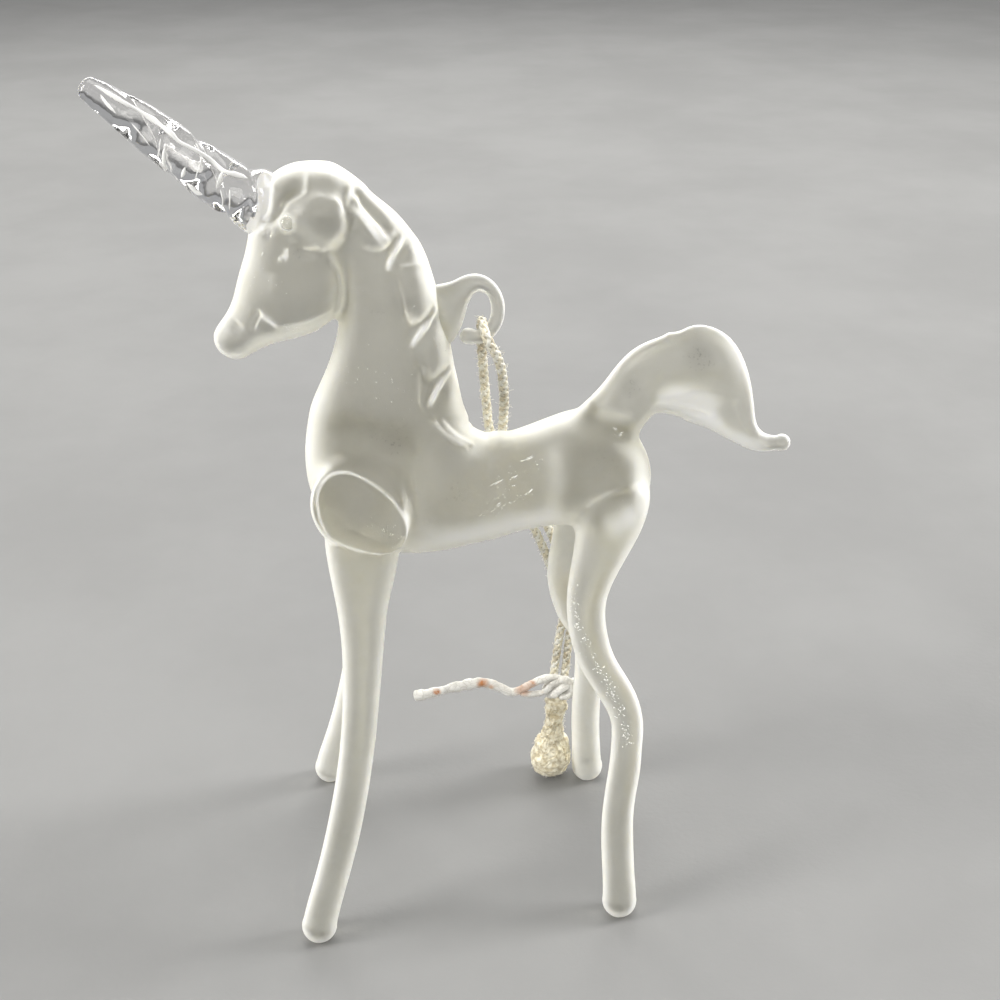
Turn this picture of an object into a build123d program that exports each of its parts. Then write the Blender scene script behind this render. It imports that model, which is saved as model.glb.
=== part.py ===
from build123d import *
import os
from math import atan2, cos, degrees, pi, radians, sin, sqrt, tan

# Frosted lampworked-glass unicorn, standing on four legs, with a clear glass
# horn, a glass hanging eye on the nape, a braided metallic hanging cord that is
# knotted at its ends, and a wire twist tie round the two strands of the cord.
# Millimetres, +Z up.  The unicorn faces -X, and +Y is its far flank.  The
# origin is on the table, under the middle of the glass.

os.makedirs("parts", exist_ok=True)

# ---------------------------------------------------------------- dimensions
X_SHIFT = 4.385           # moves the modelling datum to the middle of the glass
Z_SHIFT = 0.0

FOOT_RADIUS = 2.33        # rounded foot at the end of each leg rod
FOOT_CENTRE_Z = 2.05      # leaves a small melted flat under each foot
FORE_STANCE = 16.55       # half the width between the fore feet
HIND_STANCE = 14.45       # half the width between the hind feet

EYE_BEAD_RADIUS = 0.88
TAIL_BALL_RADIUS = 1.08
HORN_TIP_RADIUS = 0.95
HOOK_KNOB_RADIUS = 0.95

CORD_DIAMETER = 1.3       # braided metallic cord
CORD_SPREAD = 0.85        # half the distance between the two strands
TIE_WIRE = 0.9            # paper-covered wire of the twist tie
TIE_GAP = 0.18            # clearance of the tie round the strands
KNOT_RADIUS = 2.95        # frayed end knot

CORD_R = CORD_DIAMETER / 2


def P(x, y, z):
    """A point in the part's own frame from one in the modelling datum."""
    return Vector(x + X_SHIFT, y, z + Z_SHIFT)


def section_plane(x, z, tilt, y=0.0):
    """Plane across a stretch of the animal that lies in the middle plane.

    tilt is the direction, in degrees above +X, of the section's height."""
    t = radians(tilt)
    return Plane(origin=P(x, y, z), x_dir=(0, 1, 0), z_dir=(-sin(t), 0, cos(t)))


def oval(half_width, half_height, turn=0.0, flute=0.0, count=12):
    """Points round a smooth oval section, always starting on the +X side.

    flute swells it by that share along the direction turn (degrees)."""
    ring = []
    for k in range(count):
        a = 2 * pi * k / count
        swell = 1 + flute * cos(2 * (a - radians(turn)))
        ring.append((half_width * swell * cos(a), half_height * swell * sin(a)))
    return ring


def path_plane(points, i):
    """Plane square to a row of points at its point i."""
    a = Vector(*points[max(i - 1, 0)][:3])
    b = Vector(*points[min(i + 1, len(points) - 1)][:3])
    return Plane(origin=P(*points[i][:3]), x_dir=(0, 1, 0), z_dir=(b - a).normalized())


def tube_radii(points):
    """The largest tangent arc that each corner's two runs leave room for."""
    radii = []
    for a, b, c in zip(points, points[1:], points[2:]):
        turn = (b - a).get_angle(c - b)
        short = min((b - a).length, (c - b).length)
        radii.append(0.45 * short / tan(radians(turn) / 2))
    return radii


# ------------------------------------------------------- torso and neck
# One gather of glass, drawn from the rump along the barrel, then turned up
# into the neck.  x, z, tilt, half height, half width.
TORSO = [
    (18.90, 60.1, 95, 1.0, 1.0),
    (18.35, 60.2, 95, 3.0, 2.9),
    (17.10, 60.5, 96, 5.1, 4.8),
    (15.10, 60.8, 98, 6.8, 6.3),
    (12.60, 61.0, 98, 7.4, 7.0),
    (9.60, 60.9, 96, 7.2, 7.0),
    (6.00, 60.2, 94, 6.7, 6.7),
    (2.20, 59.2, 91, 6.4, 6.5),
    (-2.20, 58.4, 84, 6.9, 6.9),
    (-7.40, 58.6, 67, 9.2, 7.5),
    (-12.40, 61.4, 48, 11.4, 7.4),
    (-15.10, 67.5, 33, 10.6, 6.6),
    (-14.95, 73.3, 24, 8.85, 5.7),
    (-14.40, 77.3, 24, 7.2, 5.1),
    (-14.10, 81.4, 25, 5.8, 4.7),
    (-14.20, 85.3, 22, 4.8, 4.4),
    (-14.90, 89.0, 17, 4.1, 4.2),
    (-16.30, 92.3, 11, 3.6, 3.9),
    (-18.20, 95.0, 5, 2.8, 3.3),
]

SHOULDER = (8, 12)        # stations between which the barrel turns into the neck

with BuildPart() as torso:
    for stretch in (
        TORSO[: SHOULDER[0] + 1],
        TORSO[SHOULDER[0] : SHOULDER[1] + 1],
        TORSO[SHOULDER[1] :],
    ):
        for x, z, tilt, half_height, half_width in stretch:
            with BuildSketch(section_plane(x, z, tilt)):
                with BuildLine():
                    Spline(*oval(half_width, half_height), periodic=True)
                make_face()
        loft()
torso.part.label = "torso_and_neck"

# ---------------------------------------------------------------- head
# A second gather, bent down from the poll: skull, round cheeks and muzzle.
HEAD = [
    (-20.90, 99.55, 176, 1.3, 1.2),
    (-20.90, 98.90, 174, 3.1, 2.8),
    (-21.20, 96.90, 169, 5.0, 4.4),
    (-22.20, 93.00, 168, 5.9, 5.2),
    (-23.25, 89.00, 166, 5.8, 5.4),
    (-23.90, 85.60, 162, 6.25, 5.35),
    (-25.85, 82.40, 159, 5.4, 4.5),
    (-28.20, 80.60, 160, 4.1, 3.6),
    (-30.10, 79.50, 160, 3.2, 3.0),
    (-31.50, 78.30, 153, 2.4, 2.5),
    (-32.35, 77.35, 148, 1.1, 1.2),
]

with BuildPart() as head:
    for x, z, tilt, half_height, half_width in HEAD:
        with BuildSketch(section_plane(x, z, tilt)):
            with BuildLine():
                Spline(*oval(half_width, half_height), periodic=True)
            make_face()
    loft()
    add(torso.part, mode=Mode.SUBTRACT)
head.part.label = "head"

# ---------------------------------------------------------------- horn
# Clear glass, drawn to a blunt point and twisted; the section is an oval that
# turns as it goes, and the root flares where it is melted to the forehead.
HORN = [
    (-44.30, 107.95, 0.95),
    (-43.07, 107.05, 1.45),
    (-41.12, 105.62, 1.92),
    (-39.10, 104.07, 2.29),
    (-37.01, 102.30, 2.52),
    (-35.49, 101.00, 2.66),
    (-34.08, 99.80, 2.70),
    (-31.35, 97.75, 2.88),
    (-29.09, 96.30, 3.15),
    (-27.60, 95.50, 3.65),
    (-26.00, 94.70, 3.60),
]
HORN_TWIST = 40           # degrees from one station to the next
HORN_FLUTE = 0.09         # how far the section is from round

with BuildPart() as horn:
    axis_dir = Vector(HORN[-1][0] - HORN[0][0], 0, HORN[-1][1] - HORN[0][1]).normalized()
    for i, (x, z, r) in enumerate(HORN):
        flute = 0.0 if i >= len(HORN) - 2 else HORN_FLUTE
        with BuildSketch(Plane(origin=P(x, 0, z), x_dir=(0, 1, 0), z_dir=axis_dir)):
            with BuildLine():
                Spline(*oval(r, r, i * HORN_TWIST, flute, 16), periodic=True)
            make_face()
    loft()
    with Locations(P(HORN[0][0], 0, HORN[0][1])):
        Sphere(HORN_TIP_RADIUS)
    add(torso.part, mode=Mode.SUBTRACT)
    add(head.part, mode=Mode.SUBTRACT)
horn.part.label = "horn"

# ---------------------------------------------------------------- mane
# One ribbon of glass laid along the crest, from the forehead over the poll and
# down to the withers, and pinched at intervals.  x, z on the crest, size.
MANE = [
    (-25.30, 98.60, 0.50),
    (-24.30, 99.15, 0.84),
    (-22.90, 99.60, 0.92),
    (-21.70, 99.75, 0.80),
    (-20.20, 99.70, 0.94),
    (-18.30, 99.15, 0.96),
    (-16.90, 98.35, 0.80),
    (-15.10, 96.80, 1.00),
    (-12.90, 94.60, 1.04),
    (-11.30, 93.05, 0.96),
    (-10.50, 92.05, 0.82),
    (-9.50, 90.60, 0.98),
    (-8.45, 88.40, 1.06),
    (-7.70, 85.80, 1.10),
    (-7.05, 83.40, 1.02),
    (-6.75, 82.00, 0.82),
    (-6.30, 79.80, 1.00),
    (-5.80, 77.00, 1.00),
    (-5.50, 74.90, 0.80),
    (-5.10, 73.00, 0.94),
    (-4.70, 70.90, 0.86),
    (-4.25, 69.20, 0.66),
    (-3.60, 67.90, 0.40),
]
MANE_DEPTH = 3.0          # the section's middle lies this far inside the crest
MANE_HALF_WIDTH = 4.5

MANE_STRETCHES = ((0, 4), (4, 7), (7, 11), (11, 15), (15, 18), (18, 22))

crest = [Vector(x, 0, z) for x, z, size in MANE]
with BuildPart() as mane:
    for first, last in MANE_STRETCHES:
        for i in range(first, last + 1):
            x, z, size = MANE[i]
            along = (crest[min(i + 1, len(crest) - 1)] - crest[max(i - 1, 0)]).normalized()
            inward = Vector(along.Z, 0, -along.X)          # towards the neck
            centre = crest[i] + inward * (MANE_DEPTH * size)
            with BuildSketch(
                Plane(origin=P(centre.X, 0, centre.Z), x_dir=(0, 1, 0), z_dir=along)
            ):
                with BuildLine():
                    Spline(*oval(MANE_HALF_WIDTH * size, MANE_DEPTH * size), periodic=True)
                make_face()
        loft()
    add(torso.part, mode=Mode.SUBTRACT)
    add(head.part, mode=Mode.SUBTRACT)
    add(horn.part, mode=Mode.SUBTRACT)
mane.part.label = "mane"

# ---------------------------------------------------------------- ears, eyes
# Each ear is a gather pressed to a rounded disc on the side of the skull, with
# its pinched tip and back edge standing above it.  Each eye is a small bead.
EAR = (-20.3, 4.9, 94.1)                  # middle of the disc
EAR_RADIUS = 2.85
EAR_THICKNESS = 3.0
EAR_ROUND = 1.3                           # rounding of the disc's rim
EAR_TIPS = [(-19.9, 5.0, 96.6, 0.95), (-18.2, 4.7, 96.2, 0.85)]
EYE = (-23.7, 4.75, 94.2)

ears, eyes = {}, {}
for name, side in (("near", -1), ("far", 1)):
    with BuildPart() as ear:
        ear_plane = Plane(
            origin=P(EAR[0], side * EAR[1], EAR[2]), x_dir=(1, 0, 0), z_dir=(0, side, -0.3)
        )
        with Locations(ear_plane.location):
            Cylinder(EAR_RADIUS, EAR_THICKNESS)
        fillet(ear.edges(), radius=EAR_ROUND)
        for x, y, z, r in EAR_TIPS:
            with Locations(P(x, side * y, z)):
                Sphere(r)
        add(torso.part, mode=Mode.SUBTRACT)
        add(head.part, mode=Mode.SUBTRACT)
        add(mane.part, mode=Mode.SUBTRACT)
    ear.part.label = "ear_" + name
    ears[name] = ear.part
    with BuildPart() as eye:
        with Locations(P(EYE[0], side * EYE[1], EYE[2])):
            Sphere(EYE_BEAD_RADIUS)
        add(head.part, mode=Mode.SUBTRACT)
        add(ear.part, mode=Mode.SUBTRACT)
    eye.part.label = "eye_" + name
    eyes[name] = eye.part

# ---------------------------------------------------------------- legs
# Drawn rods with a rounded foot.  x, distance from the middle, z, radius, and
# the radius across where the rod was pressed flatter.
FORELEG = [
    (-17.20, 5.4, 60.5, 3.70, 3.3),
    (-17.15, 6.4, 56.5, 4.60, 3.6),
    (-17.25, 7.4, 52.7, 4.35, 3.4),
    (-17.55, 8.5, 47.5, 3.30, 2.95),
    (-17.70, 9.4, 42.3, 2.68, 2.6),
    (-18.05, 10.4, 36.9, 2.39, 2.37),
    (-18.70, 11.6, 30.1, 2.23, 2.23),
    (-19.90, 12.9, 22.4, 2.19, 2.19),
    (-21.20, 14.0, 16.3, 2.20, 2.20),
    (-22.50, 14.9, 11.3, 2.18, 2.18),
    (-23.80, 15.7, 6.9, 2.18, 2.18),
    (-25.10, FORE_STANCE, FOOT_CENTRE_Z, 2.24, 2.24),
]
HIND_LEG_NEAR = [
    (14.20, 3.0, 60.5, 4.30),
    (13.80, 3.7, 57.9, 4.60),
    (13.20, 4.3, 54.8, 4.10),
    (11.90, 5.1, 50.3, 3.14),
    (11.00, 5.7, 47.3, 2.70),
    (10.55, 6.3, 44.3, 2.47),
    (10.80, 6.9, 41.0, 2.38),
    (11.70, 7.5, 37.5, 2.30),
    (13.20, 8.1, 34.5, 2.25),
    (14.75, 8.6, 31.9, 2.20),
    (15.80, 9.1, 29.3, 2.10),
    (16.10, 9.7, 26.2, 2.04),
    (15.85, 10.5, 21.9, 2.06),
    (15.20, 11.4, 16.9, 2.05),
    (14.95, 12.3, 12.5, 2.12),
    (15.10, 13.1, 8.0, 2.15),
    (15.30, 13.9, 4.3, 2.20),
    (15.35, HIND_STANCE, FOOT_CENTRE_Z, 2.26),
]
HIND_LEG_FAR = [
    (13.90, 3.0, 60.5, 4.30),
    (13.20, 3.8, 57.0, 4.40),
    (12.20, 4.5, 53.2, 4.00),
    (11.00, 5.3, 49.9, 3.40),
    (9.95, 6.1, 45.5, 2.80),
    (9.45, 6.7, 42.2, 2.55),
    (9.70, 7.5, 38.2, 2.40),
    (10.80, 8.1, 34.4, 2.32),
    (12.15, 8.7, 31.6, 2.25),
    (13.40, 9.6, 26.5, 2.12),
    (13.50, 10.9, 19.8, 2.06),
    (13.55, 12.3, 12.5, 2.08),
    (13.80, 13.1, 8.5, 2.10),
    (14.10, 13.9, 4.2, 2.20),
    (14.35, HIND_STANCE, FOOT_CENTRE_Z, 2.26),
]
SHOULDER_DISC = (-17.0, 5.9, 59.8, 6.3, 5.6)   # x, y, z, radius, half thickness
FACET = (-17.0, 9.05, 59.8)                    # flat pressed on the shoulder
FACET_NORMAL = (-0.15, 1.0, 0.30)

legs = {}
for name, side, stations in (
    ("foreleg_near", -1, FORELEG),
    ("foreleg_far", 1, FORELEG),
    ("hind_leg_near", -1, HIND_LEG_NEAR),
    ("hind_leg_far", 1, HIND_LEG_FAR),
):
    points = [(st[0], side * st[1], st[2]) for st in stations]
    with BuildPart() as leg:
        for i, st in enumerate(stations):
            with BuildSketch(path_plane(points, i)):
                with BuildLine():
                    Spline(*oval(st[-1], st[3]), periodic=True)
                make_face()
        loft()
        with Locations(P(*points[-1])):
            Sphere(FOOT_RADIUS)
        if name.startswith("foreleg"):
            disc_plane = Plane(
                origin=P(SHOULDER_DISC[0], side * SHOULDER_DISC[1], SHOULDER_DISC[2]),
                x_dir=(1, 0, 0),
                z_dir=(0, 0, 1),
            )
            with BuildSketch(disc_plane):
                Ellipse(SHOULDER_DISC[3], SHOULDER_DISC[4])
                split(bisect_by=Plane.YZ, keep=Keep.TOP)
            revolve(axis=Axis(disc_plane.origin, (0, 1, 0)), revolution_arc=360)
            facet_plane = Plane(
                origin=P(FACET[0], side * FACET[1], FACET[2]),
                z_dir=(FACET_NORMAL[0], side * FACET_NORMAL[1], FACET_NORMAL[2]),
            )
            split(bisect_by=facet_plane, keep=Keep.BOTTOM)
        add(torso.part, mode=Mode.SUBTRACT)
        split(bisect_by=Plane.XY, keep=Keep.TOP)
    leg.part.label = name
    legs[name] = leg.part

# ---------------------------------------------------------------- tail
# A gather pulled up from the rump, pressed to a paddle, and drawn out to a thin
# tip that ends in a bead.  x, z, tilt, half height, half width.
TAIL = [
    (12.80, 66.0, -28, 4.00, 3.40),
    (14.60, 68.55, -31, 3.75, 3.30),
    (15.75, 70.1, -39, 3.65, 3.10),
    (17.00, 71.5, -54, 4.10, 2.80),
    (19.00, 72.5, -69, 4.90, 2.50),
    (21.50, 72.8, -77, 5.80, 2.30),
    (24.00, 72.75, -82.5, 6.60, 2.20),
    (26.10, 72.2, -86.5, 6.80, 2.10),
    (28.25, 70.6, -93, 6.10, 1.90),
    (29.75, 68.6, -95.5, 4.85, 1.65),
    (30.85, 66.3, -97, 3.20, 1.40),
    (31.90, 64.45, -90, 1.90, 1.20),
    (33.60, 63.5, -88, 1.10, 1.02),
    (35.40, 63.5, -87, 1.00, 0.95),
]

with BuildPart() as tail:
    for stretch in (TAIL[:6], TAIL[5:]):
        for x, z, tilt, half_height, half_width in stretch:
            with BuildSketch(section_plane(x, z, tilt)):
                with BuildLine():
                    Spline(*oval(half_width, half_height), periodic=True)
                make_face()
        loft()
    with Locations(P(TAIL[-1][0], 0, TAIL[-1][1])):
        Sphere(TAIL_BALL_RADIUS)
    add(torso.part, mode=Mode.SUBTRACT)
tail.part.label = "tail"

# ---------------------------------------------------------------- hanging eye
# A rod melted to the nape with a wide root, bent over into a ring and curled
# back under itself to a knob beside its own root.
# x, y, z, tilt, half height, half width.
HOOK = [
    (-7.70, 0.0, 81.00, -78, 3.80, 2.35),
    (-6.60, 0.0, 81.50, -78, 3.64, 2.20),
    (-5.35, 0.0, 82.45, -78, 2.95, 1.80),
    (-4.33, 0.0, 84.05, -76, 1.85, 1.35),
    (-3.56, 0.0, 84.95, -78, 1.28, 1.15),
    (-2.69, 0.0, 85.27, -88, 1.04, 1.00),
    (-1.64, 0.0, 84.95, -107, 0.91, 0.91),
    (-0.85, 0.0, 84.15, -129, 0.85, 0.85),
    (-0.38, 0.0, 83.07, -153, 0.82, 0.82),
    (-0.25, 0.0, 81.85, -172, 0.82, 0.82),
]
HOOK_ROD = 0.82
HOOK_CURL = [                             # x, y, z, radius; the end swells to a knob
    (-0.25, 0.0, 81.85, HOOK_ROD),
    (-0.40, -0.12, 80.80, HOOK_ROD),
    (-0.90, -0.38, 79.85, HOOK_ROD),
    (-1.60, -0.65, 79.20, HOOK_ROD),
    (-2.30, -0.85, 78.95, HOOK_ROD),
    (-3.00, -1.07, 78.95, 0.86),
    (-3.60, -1.24, 79.10, HOOK_KNOB_RADIUS),
    (-4.15, -1.39, 79.26, 0.90),
    (-4.50, -1.49, 79.37, 0.70),
    (-4.70, -1.54, 79.43, 0.40),
]
HINGE = (-2.15, -0.80, 78.97)             # middle of the rod where the cord bears

curl_start = section_plane(HOOK[-1][0], HOOK[-1][2], HOOK[-1][3])
with BuildPart() as hook:
    for stretch in (HOOK[:6], HOOK[5:8], HOOK[7:]):
        for x, y, z, tilt, half_height, half_width in stretch:
            with BuildSketch(section_plane(x, z, tilt, y)):
                with BuildLine():
                    Spline(*oval(half_width, half_height), periodic=True)
                make_face()
        loft()
    for stretch in ((0, 3), (3, len(HOOK_CURL) - 1)):
        for i in range(stretch[0], stretch[1] + 1):
            r = HOOK_CURL[i][3]
            with BuildSketch(path_plane(HOOK_CURL, i) if i else curl_start):
                with BuildLine():
                    Spline(*oval(r, r), periodic=True)
                make_face()
        loft()
    add(mane.part, mode=Mode.SUBTRACT)
hook.part.label = "hanging_eye"

# ---------------------------------------------------------------- cord
# One length of braided cord, doubled over the hanging eye; both ends go into
# the end knot.  It leans out over the far flank and comes down behind the far
# hind leg.  Points of the route, from the knot up one strand and down the other.
KNOT_TOP = Vector(9.40, 14.20, 15.30)
CORD_STRAIGHT = Vector(10.20, 12.97, 30.30)
DOWN = (KNOT_TOP - CORD_STRAIGHT).normalized()
ACROSS = (Vector(1, 0, 0) - DOWN * DOWN.X).normalized()

CORD_ROUTE = [
    KNOT_TOP + ACROSS * CORD_SPREAD,
    CORD_STRAIGHT + ACROSS * CORD_SPREAD,
    Vector(10.05, 11.4, 38.7),
    Vector(7.20, 10.1, 46.9),
    Vector(3.70, 9.2, 54.2),
    Vector(0.65, 8.05, 60.9),
    Vector(0.75, 4.65, 65.6),
    Vector(0.60, 1.0, 71.1),
    Vector(-0.10, -1.75, 76.2),
    Vector(-1.95, -3.13, 79.78),
    Vector(-2.25, 0.02, 81.30),
    Vector(-2.10, 2.35, 76.30),
    Vector(-1.55, 4.9, 69.4),
    Vector(-0.85, 8.15, 61.3),
    Vector(2.10, 9.3, 53.4),
    Vector(5.60, 10.2, 46.1),
    Vector(8.35, 11.45, 38.3),
    CORD_STRAIGHT - ACROSS * CORD_SPREAD,
    KNOT_TOP - ACROSS * CORD_SPREAD,
]
CORD_RADII = tube_radii(CORD_ROUTE)
print("cord radii", [round(r, 2) for r in CORD_RADII])

with BuildPart() as cord:
    with BuildLine():
        cord_path = FilletPolyline(*[P(*v) for v in CORD_ROUTE], radius=CORD_RADII)
    with BuildSketch(Plane(origin=P(*CORD_ROUTE[0]), x_dir=ACROSS, z_dir=DOWN * -1)):
        Circle(CORD_R)
    sweep()
cord.part.label = "cord_loop"
print(
    "cord length", round(cord_path.length, 2),
    "volume / (section x length)", round(cord.part.volume / (pi * CORD_R**2 * cord_path.length), 4),
)

# ---------------------------------------------------------------- end knot
# Both ends of the cord, knotted and frayed.  radius, distance down from the top.
KNOT = [
    (1.55, 0.0), (1.72, 1.0), (1.52, 2.6), (1.18, 4.4), (1.30, 6.0),
    (2.00, 7.8), (2.72, 9.6), (KNOT_RADIUS, 11.6), (2.45, 13.6), (1.35, 14.7),
]
KNOT_LENGTH = 15.0

with BuildPart() as knot:
    knot_plane = Plane(origin=P(*KNOT_TOP), x_dir=ACROSS, z_dir=ACROSS.cross(DOWN))
    with BuildSketch(knot_plane):
        with BuildLine():
            Line((0, 0), KNOT[0])
            Spline(*KNOT, (0, KNOT_LENGTH))
            Line((0, KNOT_LENGTH), (0, 0))
        make_face()
    revolve(axis=Axis(knot_plane.origin, DOWN), revolution_arc=360)
knot.part.label = "end_knot"

# ---------------------------------------------------------------- twist tie
# Paper-covered wire: two close turns round both strands, with the two ends
# twisted together and sticking out to the side.
TIE_LENGTH = 3.4          # along the cord
TIE_LIFT = 0.45           # clear of the knot's top
TIE_TAIL_RADIUS = 0.52
TIE_TAIL = [
    (8.00, 12.95, 18.35), (5.80, 12.85, 18.55), (3.60, 13.0, 17.2), (1.20, 13.2, 17.8),
    (-1.60, 13.3, 18.9), (-4.60, 13.4, 18.45), (-8.50, 13.5, 17.75), (-12.00, 13.6, 16.5),
]
TIE_BRANCH = [(8.00, 12.90, 16.80), (6.30, 12.75, 16.1), (4.60, 12.85, 16.3), (3.10, 13.05, 17.25)]

with BuildPart() as tie:
    tie_plane = Plane(origin=P(*(KNOT_TOP - DOWN * TIE_LIFT)), x_dir=ACROSS, z_dir=DOWN * -1)
    bore = 2 * (CORD_R + TIE_GAP)
    with BuildSketch(tie_plane):
        SlotCenterToCenter(2 * CORD_SPREAD, bore + 2 * TIE_WIRE)
    extrude(amount=TIE_LENGTH)
    fillet(tie.edges(), radius=0.38)
    for points in (TIE_TAIL, TIE_BRANCH):
        with BuildLine():
            FilletPolyline(*[P(*v) for v in points], radius=0.9)
        first = Vector(*points[0])
        with BuildSketch(
            Plane(origin=P(*first), z_dir=(Vector(*points[1]) - first).normalized())
        ):
            Circle(TIE_TAIL_RADIUS)
        sweep()
    with Locations(P(*TIE_TAIL[-1])):
        Sphere(TIE_TAIL_RADIUS)
    with BuildSketch(tie_plane):
        SlotCenterToCenter(2 * CORD_SPREAD, bore)
    extrude(amount=TIE_LENGTH, both=True, mode=Mode.SUBTRACT)
tie.part.label = "twist_tie"

# ---------------------------------------------------------------- files
pieces = {
    "torso_and_neck": torso.part,
    "head": head.part,
    "horn": horn.part,
    "mane": mane.part,
    "ear_near": ears["near"],
    "ear_far": ears["far"],
    "eye_near": eyes["near"],
    "eye_far": eyes["far"],
    "foreleg_near": legs["foreleg_near"],
    "foreleg_far": legs["foreleg_far"],
    "hind_leg_near": legs["hind_leg_near"],
    "hind_leg_far": legs["hind_leg_far"],
    "tail": tail.part,
    "hanging_eye": hook.part,
    "cord_loop": cord.part,
    "end_knot": knot.part,
    "twist_tie": tie.part,
}
for name, piece in pieces.items():
    export_step(piece, "parts/" + name + ".step")
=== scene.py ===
import math
import random

import bpy
import numpy as np
from mathutils import Matrix, Vector, noise
from mathutils.bvhtree import BVHTree


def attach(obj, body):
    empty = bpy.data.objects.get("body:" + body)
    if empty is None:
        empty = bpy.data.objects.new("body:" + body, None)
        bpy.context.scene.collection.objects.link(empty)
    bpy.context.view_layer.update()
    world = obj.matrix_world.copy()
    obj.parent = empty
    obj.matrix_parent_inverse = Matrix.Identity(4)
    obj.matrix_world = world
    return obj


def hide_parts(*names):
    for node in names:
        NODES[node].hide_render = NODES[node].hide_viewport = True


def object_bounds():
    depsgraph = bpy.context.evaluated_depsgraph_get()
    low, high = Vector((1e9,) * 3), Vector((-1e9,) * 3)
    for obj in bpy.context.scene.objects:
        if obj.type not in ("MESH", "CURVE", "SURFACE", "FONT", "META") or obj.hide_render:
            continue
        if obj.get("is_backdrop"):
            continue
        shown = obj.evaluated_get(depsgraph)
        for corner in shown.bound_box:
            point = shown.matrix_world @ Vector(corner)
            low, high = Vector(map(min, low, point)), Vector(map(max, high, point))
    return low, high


# Frosted lampworked-glass unicorn with a clear twisted horn, a glass hanging
# eye, a braided cord knotted at its ends and a wire twist tie.
# Lengths below are millimetres in the row frame unless a name says otherwise;
# Blender objects are in metres.

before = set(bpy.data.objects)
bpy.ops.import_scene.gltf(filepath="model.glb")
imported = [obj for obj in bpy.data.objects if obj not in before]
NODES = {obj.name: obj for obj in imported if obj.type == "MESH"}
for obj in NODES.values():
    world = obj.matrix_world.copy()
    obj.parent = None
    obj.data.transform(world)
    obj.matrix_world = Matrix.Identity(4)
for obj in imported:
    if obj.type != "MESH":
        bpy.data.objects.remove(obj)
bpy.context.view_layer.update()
scene = bpy.context.scene
MM = 0.001
DATUM = np.array([4.385, 0.0, 0.0])       # modelling datum to row frame


def row(points):
    """Datum points (mm) as row-frame points (mm)."""
    return np.array(points, float) + DATUM


# ------------------------------------------------------------------ camera
cam_data = bpy.data.cameras.new("camera")
cam_data.lens = 50.4
cam_data.sensor_width = 36.0
cam_data.clip_start = 0.005
cam_data.clip_end = 20.0
camera = bpy.data.objects.new("camera", cam_data)
scene.collection.objects.link(camera)
camera.location = Vector((-5.42, -155.84, 139.5)) * MM
turn, down = math.radians(3.6), math.radians(28.0)
look = Vector((math.sin(turn) * math.cos(down), math.cos(turn) * math.cos(down), -math.sin(down)))
camera.rotation_euler = look.to_track_quat("-Z", "Y").to_euler()
scene.camera = camera
scene.view_settings.view_transform = "Standard"


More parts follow.
